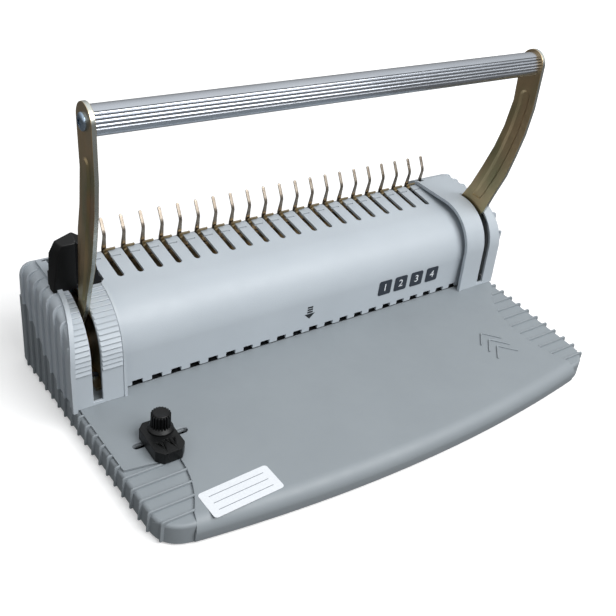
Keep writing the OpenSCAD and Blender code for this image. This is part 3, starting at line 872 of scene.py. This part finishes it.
def buildCoverRibs():
    rows = [y for y in ribRows() if y > endShape["front"] + 4]
    paths = [coverRibPath(side, y)[::side] for side in (-1, 1) for y in rows]
    ribs = swept("end_cover_ribs", ribOutline(), paths, alongY, paleAbs)
    return finishPiece(ribs, *coverLook, 0, angle=50)


# Louvre slats beside the lever slot on the left, each a thin wedge
louvre = {"count": 17, "pitch": 3.3, "thick": 1.15, "gap": 0.45, "startZ": 44.5, "stopDegrees": 98}


def buildLouvres():
    big = endShape["arcRadius"]
    y = endShape["front"] + endShape["lean"]
    path = [[y - 0.3, louvre["startZ"]]] + arc(y + big, headZ - big, big, 180, louvre["stopDegrees"], 40)
    slotEdge = endShape["slotWidth"] / 2
    panels = [[1.2 - rimX(0), -armMid - slotEdge - 0.5], [-armMid + slotEdge + 0.5, leftHigh[0] - 2.6]]
    half, front, thick = louvre["pitch"] / 2, louvre["gap"] - louvre["pitch"] / 2, louvre["thick"]
    wedge = [[front, -0.5], [half, -0.5], [half, 0.06], [front + 0.5, thick], [front, thick - 0.15]]
    for number, (low, high) in enumerate(panels):
        slat = prisms("slat", [(wedge, (low - high) / 2, (high - low) / 2)], "x")
        # drawn with its length on X and its run on Z, as the path's own axes are
        for v in slat.data.vertices:
            v.co = Vector((v.co.x, -v.co.z, v.co.y))
        facesOut(slat.data)
        values = {"Piece": slat, "Count": louvre["count"], "Side": alongX, "Finish": paleAbs}
        line = lines("path", [[[(low + high) / 2, a, b] for a, b in path]])
        row = grow(f"louvres_{number + 1}", alongTree, values, line)
        if number == 0:
            # the outer slats end along the rim
            levels = [louvre["startZ"] - 4 + 2 * k for k in range(24)]
            bound = [[1.3 - rimX(z), z] for z in levels] + [[high + 1, levels[-1]], [high + 1, levels[0]]]
            cutBy(row, prisms("bound", [(bound, 0, 110)], "y"), "INTERSECT")
        finishPiece(row, *coverLook, 0, angle=30)


print("building the end covers")
buildEndCover("left_end", -1, -leftHigh[0], endShape["slotRear"][0])
buildEndCover("right_end", 1, rightLow[0], endShape["slotRear"][1])
buildBorders(-1, -leftHigh[0])
buildBorders(1, rightLow[0])
buildCoverRibs()
buildLouvres()

# Front cover with its hook slots and throat notches
print("building the covers")
finishPiece(carried("front_cover", "front_housing"), *coverLook, 0.2, 2, ("front_cover",), 30)
finishPiece(carried("rear_cover", "rear_panel"), *coverLook, 0.5, 2, ("rear_cover",))

# Lever
leverShape = {
    "ribLow": 58.0,  # both ends of the pressed rib, above the shaft
    "ribTop": 158.0,
    "ribHalf": 4.6,
    "ribDepth": 1.1,
    "neck": [[41.3, 140], [43, 118], [44.5, 100], [45.5, 86], [48, 74], [58, 64]],  # rear edge, y and z
    "flutes": 5,
    "fluteDepth": 0.6,
    "fluteBand": 34,  # half the fluted band in degrees, and how far its middle is above the side
    "fluteRise": 20,
}
barLow, barHigh = boxMm("handle_bar")
_, gripY, gripZ = middleOf("handle_bar")
gripR = (barHigh[2] - barLow[2]) / 2
_, shaftY, shaftZ = middleOf("pivot_shaft")

# Middle line of each arm: [height above the shaft, y from the shaft, half width]
armLine = [[40, -14.5, 15], [66, -27.5, 12.5], [86, -34.8, 12], [105, -40, 11]]
armLine += [[124, -44, 10.4], [146, -46, 10], [162, -45, 10]]


def armMiddle(height):
    for a, b in zip(armLine, armLine[1:]):
        if a[0] <= height <= b[0]:
            t = (height - a[0]) / (b[0] - a[0])
            return [a[1] + (b[1] - a[1]) * t, a[2] + (b[2] - a[2]) * t]


# Rear edge of the slim lower part of an arm
def neckY(z):
    for (ya, za), (yb, zb) in zip(leverShape["neck"], leverShape["neck"][1:]):
        if zb <= z <= za:
            return ya + (yb - ya) * (z - za) / (zb - za)
    return math.inf


# The long pressed rib: a round-ended outline that follows the arm
def pressOutline(side, shrink):
    low, high = leverShape["ribLow"], leverShape["ribTop"] - 6
    half, steps = leverShape["ribHalf"] - shrink, 22
    left, right = [], []
    for k in range(steps + 1):
        h = low + (high - low) * k / steps
        middle, width = armMiddle(h)
        centre, neck = shaftY + middle, neckY(shaftZ + h)
        if side < 0 and neck < centre + width:
            centre = (centre - width + neck) / 2
        left.append([centre - half, shaftZ + h])
        right.append([centre + half, shaftZ + h])
    crown = arc(shaftY + armMiddle(high)[0], shaftZ + high, half, 180, 0, 12)[1:-1]
    return left + crown + right[::-1]


def buildArm(name, side):
    arm = carried(name, name + "_plate")
    if side < 0:
        waste = leverShape["neck"] + [[95, 64], [95, 140]]
        cutBy(arm, prisms("waste", [(waste, -armHigh[0] - 3, -armLow[0] + 3)], "x"))
    # raised on the outer face, sunk on the inner one
    for face, operation in ((side * armHigh[0], "UNION"), (side * armLow[0], "DIFFERENCE")):
        rings = []
        for shrink, level in ((-0.6, -0.2), (0.0, 0.0), (1.6, leverShape["ribDepth"])):
            rings.append([[face + side * level, y, z] for y, z in pressOutline(side, shrink)])
        cutBy(arm, skinned("press", rings), operation)
    finishPiece(arm, "lever", "passivated_steel", yellowZinc, 0.35, 2, (name,), 30)
    # painted highlight on every face inside the plate's thickness: the narrow edge faces and the walls of the
    # sunk rib
    arm.data.materials.append(edgeHighlight)
    for face in arm.data.polygons:
        if abs(face.normal.x) < 0.3 and face.area > 0:
            middle = sum((arm.data.vertices[v].co.x for v in face.vertices), 0.0) / len(face.vertices)
            inside = armLow[0] + 0.2 < abs(middle) / mm < armHigh[0] - 0.2
            face.material_index = 1 if inside else 0
    return arm


# Grip: an extruded tube with narrow flutes front and back and plain bands above and below
def buildGrip():
    count, ring = 240, []
    band, above = math.radians(leverShape["fluteBand"]), math.radians(leverShape["fluteRise"])
    pitch = 2 * band / leverShape["flutes"]
    for k in range(count):
        a = 2 * math.pi * k / count
        # 0 in the middle of the flutes, a little above the front and the back
        fromSide = math.atan2(math.sin(a), abs(math.cos(a))) - above
        depth = 0.0
        if abs(fromSide) < band:
            phase = (fromSide + band) % pitch / pitch
            depth = leverShape["fluteDepth"] * max(0.0, math.sin(math.pi * phase)) ** 0.6
        ring.append([(gripR - depth) * math.cos(a), (gripR - depth) * math.sin(a)])
    half = barHigh[0]
    path = [[-half, gripY, gripZ], [0, gripY, gripZ], [half, gripY, gripZ]]
    grip = swept("grip_bar", ring, [path], alongY, gripAlloy)
    return finishPiece(grip, "lever", "grip_aluminium", gripAlloy, 0, replaced=("handle_bar",), angle=24)


# Pan head with a cross recess, its top at x = 0 and pointing to -X
def screwHead(radius, height):
    profile = [[radius * 0.5, 1.2], [radius, 1.2], [radius, 0.35 - height * 0.25]]
    for k in range(1, 9):
        a = math.radians(90 * k / 8)
        profile.append([radius * math.cos(a) * 0.999 + 0.001, -height * (0.25 + 0.75 * math.sin(a)) + 0.35])
    head = turned("head", profile, [0, 0, 0], "x", 32)
    w, r = radius * 0.13, radius * 0.52
    cross = [[-w, -r], [w, -r], [w, -w], [r, -w], [r, w], [w, w]]
    cross += [[-a, -b] for a, b in cross]
    return cutBy(head, prisms("cross", [(cross, -height - 1, -height * 0.35)], "x"))


def buildHandleScrews():
    low, high = boxMm("handle_screws")
    head = screwHead((high[1] - low[1]) / 2, high[0] - armHigh[0])
    start, step = vector(-armHigh[0] - 0.35, gripY, gripZ), vector(2 * armHigh[0] + 0.7, 0, 0)
    tilt, half = [math.radians(25), 0.0, 0.0], [0.0, 0.0, math.pi]
    screws = repeated("grip_screws", head, 2, start, step, blueZinc, tilt, half)
    return finishPiece(screws, "lever", "zinc_steel", blueZinc, 0.12, 2, ("handle_screws",), 30)


print("building the lever")
buildArm("left_arm", -1)
buildArm("right_arm", 1)
buildGrip()
buildHandleScrews()

# Comb prongs and hooks
prongShape = {
    "foot": [[97.9, 60.5], [97.9, 70], [97.9, 78], [97.9, 83.4]],
    "bend": [[97.6, 85.2], [96.7, 91.5], [96.4, 94.0], [96.9, 96.0]],
    "tip": [102.3, 104.9],
    "wide": 3.4,
    "narrow": 2.3,
    "thick": 1.1,
    "taperZ": [84, 92],  # it narrows between these heights
    "railY": [97.3, 98.5],
    "railZ": [60.0, 78.0],
}


def bentProng():
    taperLow, taperHigh = prongShape["taperZ"]
    path = prongShape["foot"] + prongShape["bend"]
    last, tip = path[-1], prongShape["tip"]
    for k in range(1, 9):
        t = math.sin(math.radians(90 * k / 8))
        path.append([last[i] + (tip[i] - last[i]) * t for i in range(2)])
    rings = []
    for k, (y, z) in enumerate(path):
        before, after = path[max(k - 1, 0)], path[min(k + 1, len(path) - 1)]
        run = Vector((after[0] - before[0], after[1] - before[1])).normalized()
        out = Vector((run.y, -run.x)) * prongShape["thick"] / 2
        share = clamped((z - taperLow) / (taperHigh - taperLow))
        half = (prongShape["wide"] + (prongShape["narrow"] - prongShape["wide"]) * share) / 2
        toTip = math.dist([y, z], tip)
        if toTip < half:
            half = math.sqrt(max(half * half - (half - toTip) ** 2, 0.02))
        corners = [(-half, 1), (half, 1), (half, -1), (-half, -1)]
        rings.append([[x, y + s * out.x, z + s * out.y] for x, s in corners])
    return skinned("prong", rings)


def combRow(name, piece, count, finish):
    return repeated(name, piece, count, vector(prongX(0), 0, 0), vector(combShape["pitch"], 0, 0), finish)


def buildProngs():
    prongs = combRow("comb_prongs", bentProng(), combShape["holes"] + 1, prongSteel)
    finishPiece(prongs, "base", "prong_steel", prongSteel, 0.22, 2, ("prong_rack",), 35)
    low, high = boxMm("prong_rack")
    rail = block("prong_rail", [low[0], high[0]], prongShape["railY"], prongShape["railZ"])
    finishPiece(rail, "base", "prong_steel", prongSteel, 0.2, 2)


hookShape = {"half": 1.2, "thick": 1.6, "tab": 1.2, "tip": 7.2, "bend": 0.8, "sheet": 1.8, "stem": 4.0}


# A folded hook: upright stem with a short tab at its top that points to the right
def buildHooks():
    low, high = boxMm("hook_rack")
    top, rear, plateZ = high[2], high[1], low[2]
    half, thick, tip, bend = (hookShape[k] for k in ("half", "thick", "tip", "bend"))
    foot, tabLow = plateZ + thick, top - hookShape["tab"]
    face = [[-half, foot], [half, foot], [half, tabLow - bend]]
    face += arc(half + bend, tabLow - bend, bend, 180, 90, 4)[1:]
    face += [[tip - 0.6, tabLow], [tip, tabLow + 0.35], [tip, top + 0.35], [tip - 0.6, top], [0.4, top]]
    face += arc(0.4, top - thick, thick, 90, 180, 5)[1:]
    stem = [[-half, foot], [half, foot], [half, tabLow - 0.6], [0.5, tabLow + 0.3], [-half, tabLow - 1.2]]
    layers = [(face, rear - hookShape["sheet"], rear), (stem, rear - hookShape["stem"], rear - thick)]
    hook = prisms("hook", layers, "y")
    hooks = combRow("comb_hooks", hook, combShape["holes"], hookSteel)
    finishPiece(hooks, "opener", "hook_steel", hookSteel, 0.2, 2, ("hook_rack",), 35)
    plate = block("hook_plate", *zip(low[:2], high[:2]), [plateZ, foot])
    finishPiece(plate, "opener", "hook_steel", hookSteel, 0.3, 2)


print("building the comb opener")
buildProngs()
buildHooks()

# Opening stop
stopLow, stopHigh = boxMm("opening_stop")
stopShape = {
    "plateZ": 85.1,
    "depth": 6.5,
    # outlines seen from the front, x from the left side and z above the head
    "front": [[0, 0], [2.5, 15], [4.2, 28], [7, 32.5], [16, 32.5]]
    + [[20.5, 29.5], [26, 22.5], [28.3, 15], [30, 6]],
    "rear": [[0, 0], [0, 17], [0.7, 26], [4.5, 33.5], [15.5, 37.5]]
    + [[20.5, 34], [26, 24.5], [28.3, 16], [30, 6]],
    "groove": [15.6, 17, 0.9],  # both sides from the left end, and its depth
}


# Thumb stop: a wide leaning tab in front, a low foot that slides in the slot behind it
def buildStop():
    x0, x1, z0 = stopLow[0], stopHigh[0], stopShape["plateZ"]
    front, rear = stopLow[1], stopLow[1] + stopShape["depth"]
    rings = []
    for y, key in ((front, "front"), (rear, "rear"), (rear + 1.2, "rear")):
        ring = [[x0 + a, y, z0 + b] for a, b in stopShape[key]]
        if y > rear:
            ring = [[(x - x0 - 15) * 0.9 + x0 + 15, y, z0 + (z - z0) * 0.95] for x, _, z in ring]
        rings.append(ring + [[x1, y, z0 + 3.5], [x1, y, z0]])
    tab = skinned("stop_tab", rings)
    left, right, deep = stopShape["groove"]
    cutBy(tab, block("groove", [x0 + left, x0 + right], [front - 1, front + deep], [z0 + 3, z0 + 60]))
    finishPiece(tab, *stopLook, 0.7, 3, ("opening_stop",), 24)
    tongueX = [-armMid - 1.4, -armMid + 1.4]
    blocks = {
        "stop_foot": ([x0 + 3, x1], [rear - 1, rear + 5], [z0, z0 + 6], 0.8, 3),
        "stop_lip": ([x0, x0 + 8], [rear - 0.5, rear + 2.5], [z0 + 2, z0 + 12.5], 0.8, 3),
        "stop_tongue": (tongueX, [rear + 3, stopHigh[1] - 4], [stopLow[2], z0 + 1], 0.4, 2),
    }
    for name, (x, y, z, edge, segments) in blocks.items():
        finishPiece(block(name, x, y, z), *stopLook, edge, segments)


buildStop()

# Edge guide and its knob
guideHigh = boxMm("edge_guide")[1]
knobLow, knobHigh = boxMm("guide_knob")
knobX, knobY, _ = middleOf("guide_knob")
knobShape = {"flangeRadius": (knobHigh[0] - knobLow[0]) / 2, "radius": 5.3, "ribs": 20}


guideShape = {"wedgeX": [-155.4, -148.6], "wedgeY": [-44.0, -35.0], "wedgeDepth": 0.8}


def buildGuide():
    guide = carried("edge_guide", "edge_guide_block")
    (tipY, baseY), top = guideShape["wedgeY"], guideHigh[2]
    # two pairs of slanting wedge cuts between the knob and the front edge
    for x in guideShape["wedgeX"]:
        for way in (-1, 1):
            wedge = [[x, tipY], [x + way * 2.9, baseY], [x + way * 1.5, baseY]]
            cutBy(guide, prisms("wedge", [(wedge, top - guideShape["wedgeDepth"], top + 1)], "z"))
    return finishPiece(guide, "guide", "black_plastic", blackAbs, 0.6, 2, ("edge_guide",), 30)


def buildKnob():
    low, high = knobLow[2], knobHigh[2]
    radius, flange = knobShape["radius"], knobShape["flangeRadius"]
    profile = [[2.3, low], [flange, low], [flange, low + 1.0], [flange - 0.5, low + 1.5]]
    profile += [[radius + 0.9, low + 2.6], [radius, low + 3.4], [radius, high - 0.8]]
    profile += [[radius - 0.8 + 0.8 * math.cos(a), high - 0.8 + 0.8 * math.sin(a)] for a in (0.5, 1.0, 1.4)]
    profile += [[radius - 1.4, high], [radius - 1.9, high - 0.35], [0.4, high - 0.35]]
    knob = turned("knob_body", profile, [knobX, knobY, 0], "z", 64)
    finishPiece(knob, "knob", "black_plastic", blackAbs, 0.1, 1, ("guide_knob",), 40)
    rib = [[radius - 0.8, low + 2.8], [radius + 1.1, low + 2.8]]
    rib += [[radius + 0.9, high - 0.9], [radius - 0.8, high - 0.5]]
    blade, turn = prisms("blade", [(rib, -0.45, 0.45)], "y"), [0.0, 0.0, 2 * math.pi / knobShape["ribs"]]
    place = vector(knobX, knobY, 0)
    ribs = repeated("knob_ribs", blade, knobShape["ribs"], place, noTurn, blackAbs, turn=turn)
    return finishPiece(ribs, "knob", "black_plastic", blackAbs, 0.18)


print("building the edge guide")
buildGuide()
buildKnob()


# Print and label
badgeShape = {"width": 12.5, "corner": 1.6, "starts": [62, 78, 94.5, 111], "figure": 9, "ink": 0.05}


def figureMesh(text, place):
    curve = bpy.data.curves.new("figure", "FONT")
    curve.body = text
    curve.size, curve.extrude = badgeShape["figure"] * mm, badgeShape["ink"] * mm
    curve.align_x = curve.align_y = "CENTER"
    figure = loose("figure", curve)
    graph = bpy.context.evaluated_depsgraph_get()
    mesh = bpy.data.meshes.new_from_object(figure.evaluated_get(graph))
    bpy.data.objects.remove(figure)
    mesh.transform(Matrix.Translation(vector(*place)) @ Matrix.Rotation(math.pi / 2, 4, "X"))
    return mesh


def buildBadges():
    low, high = boxMm("badges")
    middleZ = middleOf("badges")[2]
    middles = [start + badgeShape["width"] / 2 for start in badgeShape["starts"]]
    outline = roundedBox(badgeShape["width"], high[2] - low[2], badgeShape["corner"])
    shapes = [([[a + x, b + middleZ] for a, b in outline], low[1], high[1]) for x in middles]
    badges = prisms("number_badges", shapes, "y")
    finishPiece(badges, "base", "badge_print", badgeInk, 0.12, 2, ("badges",), 30)
    for number, x in enumerate(middles, 1):
        mesh = figureMesh(str(number), [x, low[1] - 0.03, middleZ])
        finishPiece(loose(f"figure_{number}", mesh), "base", "badge_print", whiteInk, 0)


arrowShape = {"x": -3.0, "half": 4.6, "tipZ": 30.2, "headZ": 34.6, "barHalf": 2.4, "bar": 1.4}
arrowShape |= {"tailZ": 35.4, "pitch": 2.1}


# A plain down arrow with a striped tail, printed above the throat
def buildArrow():
    x, head, bar = arrowShape["x"], arrowShape["half"], arrowShape["barHalf"]
    outlines = [[[x - head, arrowShape["headZ"]], [x, arrowShape["tipZ"]], [x + head, arrowShape["headZ"]]]]
    for k in range(3):
        low = arrowShape["tailZ"] + k * arrowShape["pitch"]
        high = low + arrowShape["bar"]
        outlines.append([[x - bar, low], [x + bar, low], [x + bar, high], [x - bar, high]])
    shapes = [(outline, coverLow[1] - 0.12, coverLow[1] + 0.6) for outline in outlines]
    return finishPiece(prisms("insert_arrow", shapes, "y"), "base", "badge_print", blackInk, 0)


labelShape = {"size": [48.3, 20.8], "corner": 2.2, "turn": 2.4, "ruleHalf": 19, "ruleLow": -6.0}
labelShape |= {"rulePitch": 5.6, "rule": 0.5}


def buildLabel():
    low, high = boxMm("blank_label")
    cx, cy, _ = middleOf("blank_label")
    turn = math.radians(labelShape["turn"])

    def placed(outline):
        c, s = math.cos(turn), math.sin(turn)
        return [[cx + a * c - b * s, cy + a * s + b * c] for a, b in outline]

    sheet = placed(roundedBox(*labelShape["size"], labelShape["corner"]))
    label = prisms("write_on_label", [(sheet, low[2], high[2])], "z")
    finishPiece(label, "base", "label_film", labelFilm, 0.06, 1, ("blank_label",), 30)
    shapes = []
    x = labelShape["ruleHalf"]
    for k in range(3):
        b = labelShape["ruleLow"] + labelShape["rulePitch"] * k
        rule = placed([[-x, b], [x, b], [x, b + labelShape["rule"]], [-x, b + labelShape["rule"]]])
        shapes.append((rule, high[2] - 0.02, high[2] + 0.03))
    return finishPiece(prisms("label_rules", shapes, "z"), "base", "label_film", ruleInk, 0)


chevronShape = {"x": 121, "reach": 11, "drop": 12, "tipY": -50, "pitch": 9, "corner": 1.5}


# Faint raised chevrons on the deck that point to the throat
def buildDeckMarks():
    x, reach, drop = (chevronShape[k] for k in ("x", "reach", "drop"))
    paths = []
    for k in range(3):
        y = chevronShape["tipY"] + k * chevronShape["pitch"]
        paths.append([[x - reach, y - drop, deckZ], [x, y, deckZ], [x + reach, y - drop, deckZ]])
    outline = [[-1.0, -0.2], [1.0, -0.2], [0.7, 0.75], [-0.7, 0.75]]
    marks = swept("deck_chevrons", outline, paths, alongZ, greyAbs, chevronShape["corner"])
    return finishPiece(marks, *trayLook, 0, angle=40)


print("adding the print, the label and the marks")
buildBadges()
buildArrow()
buildLabel()
buildDeckMarks()

# Parts under and inside, shown as constructed
outerParts = {
    "bottom_plate": ("floor_plate", "base", "plate_paint", platePaint, 0.3, 1),
    "rubber_feet": ("feet", "base", "rubber", footRubber, 0.4, 2),
    "chip_drawer": ("chip_tray", "drawer", "base_plastic", slateAbs, 0.35, 2),
}
for nodeName, (pieceName, *look) in outerParts.items():
    finishPiece(carried(nodeName, pieceName), *look, (nodeName,))
innerFinishes = {
    yellowZinc: ["left_side_frame", "right_side_frame"],
    bushBronze: ["shaft_bushes"],
    blueZinc: ["frame_screws", "base_screws", "guide_stud"],
    toolSteel: ["die_plate", "punch_guide", "throat_spacers", "paper_stop"]
    + ["shaft_clips", "punch_cams", "punch_pins"],
    millSteel: ["return_springs", "pivot_shaft", "punch_bar", "cam_followers", "rack_studs"],
    rackNylon: ["rack_pinions", "toothed_racks"],
    blackAbs: ["bar_plugs"],
}
for finish, nodeNames in innerFinishes.items():
    for nodeName in nodeNames:
        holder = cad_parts[nodeName]
        holder.data.materials.clear()
        holder.data.materials.append(finish)
print("inner parts dressed")

# Studio
studio = {
    "floorHalf": 6.0,
    "floorTone": [0.82, 0.82, 0.82, 1],
    "tableTone": [0.16, 0.16, 0.16, 1],  # what lights the object itself from below
    "glow": [0.3, 1.0],  # the floor's own light, near the object and far away
    "glowFrom": 0.4,  # metres from the object where it starts to fade into the white behind it
    "glowTo": 1.4,
    "skyTone": [0.975, 0.99, 1.0, 1],
    "worldLow": 0.12,  # light from the level of the floor
    "worldHigh": 0.7,  # light from straight above
    "worldShine": [0.1, 1.35],  # the same two as metal reflects them
    "keyPower": 32.0,
    "fillPower": 2.0,
    "cameraAt": [-326.4, -371.6, 384.7],
    "yaw": 38.75,
    "pitch": 33.87,
    "roll": 7.86,
    "lens": 49.08,
}
white = [1, 1, 1, 1]


# One shader for the camera's rays and another for the rest
def splitByCamera(tree, rays, others, seen):
    inputs = {0: rays["Is Camera Ray"], 1: others, 2: seen}
    return through(tree, "ShaderNodeMixShader", inputs)


def buildFloor():
    half = studio["floorHalf"] / mm
    corners = [[-half, -half, 0], [half, -half, 0], [half, half, 0], [-half, half, 0]]
    floor = loose("studio_floor", meshOf("floor", corners, [[0, 1, 2, 3]]))
    material, tree, shader, place = surface("matt white floor")
    feed(tree, shader, {"Base Color": studio["floorTone"], "Roughness": 1.0, "Specular IOR Level": 0.0})
    away = through(tree, "ShaderNodeVectorMath", {0: place}, "Value", operation="LENGTH")
    near, far = studio["glow"]
    span = {0: away, 1: studio["glowFrom"], 2: studio["glowTo"], 3: near, 4: far}
    fade = through(tree, "ShaderNodeMapRange", span)
    glow = through(tree, "ShaderNodeEmission", {"Color": white, "Strength": fade})
    seen = through(tree, "ShaderNodeAddShader", {0: shader.outputs[0], 1: glow})
    table = through(tree, "ShaderNodeBsdfDiffuse", {"Color": studio["tableTone"]})
    rays = addNode(tree, "ShaderNodeLightPath").outputs
    feed(tree, tree.nodes["Material Output"], {"Surface": splitByCamera(tree, rays, table, seen)})
    floor.data.materials.append(material)


def buildWorld():
    world = bpy.data.worlds.new("studio")
    bpy.context.scene.world = world
    world.use_nodes = True
    tree = world.node_tree
    sky = through(tree, "ShaderNodeTexCoord", output="Generated")
    height = through(tree, "ShaderNodeSeparateXYZ", {0: sky}, "Z")
    soft = {0: height, 1: 0.0, 2: 1.0, 3: studio["worldLow"], 4: studio["worldHigh"]}
    low, high = studio["worldShine"]
    shine = {0: height, 1: -0.1, 2: 1.0, 3: low, 4: high}
    spans = [through(tree, "ShaderNodeMapRange", inputs) for inputs in (soft, shine)]
    rays = addNode(tree, "ShaderNodeLightPath").outputs
    glossy = {0: rays["Is Glossy Ray"], 2: spans[0], 3: spans[1]}
    strength = through(tree, "ShaderNodeMix", glossy, data_type="FLOAT")
    back = tree.nodes["Background"]
    feed(tree, back, {"Color": studio["skyTone"], "Strength": strength})
    seen = through(tree, "ShaderNodeBackground", {"Color": white, "Strength": 1.0})
    feed(tree, tree.nodes["World Output"], {"Surface": splitByCamera(tree, rays, back.outputs[0], seen)})


def addSoftbox(name, at, target, size, power):
    light = bpy.data.lights.new(name, "AREA")
    light.shape = "RECTANGLE"
    light.size, light.size_y = size
    light.energy = power
    box = bpy.data.objects.new(name, light)
    bpy.context.scene.collection.objects.link(box)
    box.location = at
    box.rotation_euler = (Vector(target) - Vector(at)).to_track_quat("-Z", "Y").to_euler()


def buildCamera():
    yaw, pitch, roll = (math.radians(studio[k]) for k in ("yaw", "pitch", "roll"))
    forward = Vector((math.sin(yaw) * math.cos(pitch), math.cos(yaw) * math.cos(pitch), -math.sin(pitch)))
    level = Vector((math.cos(yaw), -math.sin(yaw), 0))
    above = level.cross(forward)
    right = math.cos(roll) * level + math.sin(roll) * above
    up = -math.sin(roll) * level + math.cos(roll) * above
    data = bpy.data.cameras.new("camera")
    data.lens = studio["lens"]
    data.sensor_width = 36
    data.clip_start, data.clip_end = 0.01, 50
    camera = bpy.data.objects.new("camera", data)
    bpy.context.scene.collection.objects.link(camera)
    turn = Matrix((right, up, -forward)).transposed().to_4x4()
    camera.matrix_world = Matrix.Translation(vector(*studio["cameraAt"])) @ turn
    bpy.context.scene.camera = camera


buildFloor()
buildWorld()
addSoftbox("key", [0.4, -1.05, 1.4], [0, 0, 0.05], (1.4, 1.0), studio["keyPower"])
addSoftbox("fill", [-1.3, -0.5, 0.9], [0, 0, 0.05], (1.2, 1.0), studio["fillPower"])
buildCamera()
bpy.context.scene.view_settings.view_transform = "Standard"
print("studio ready")
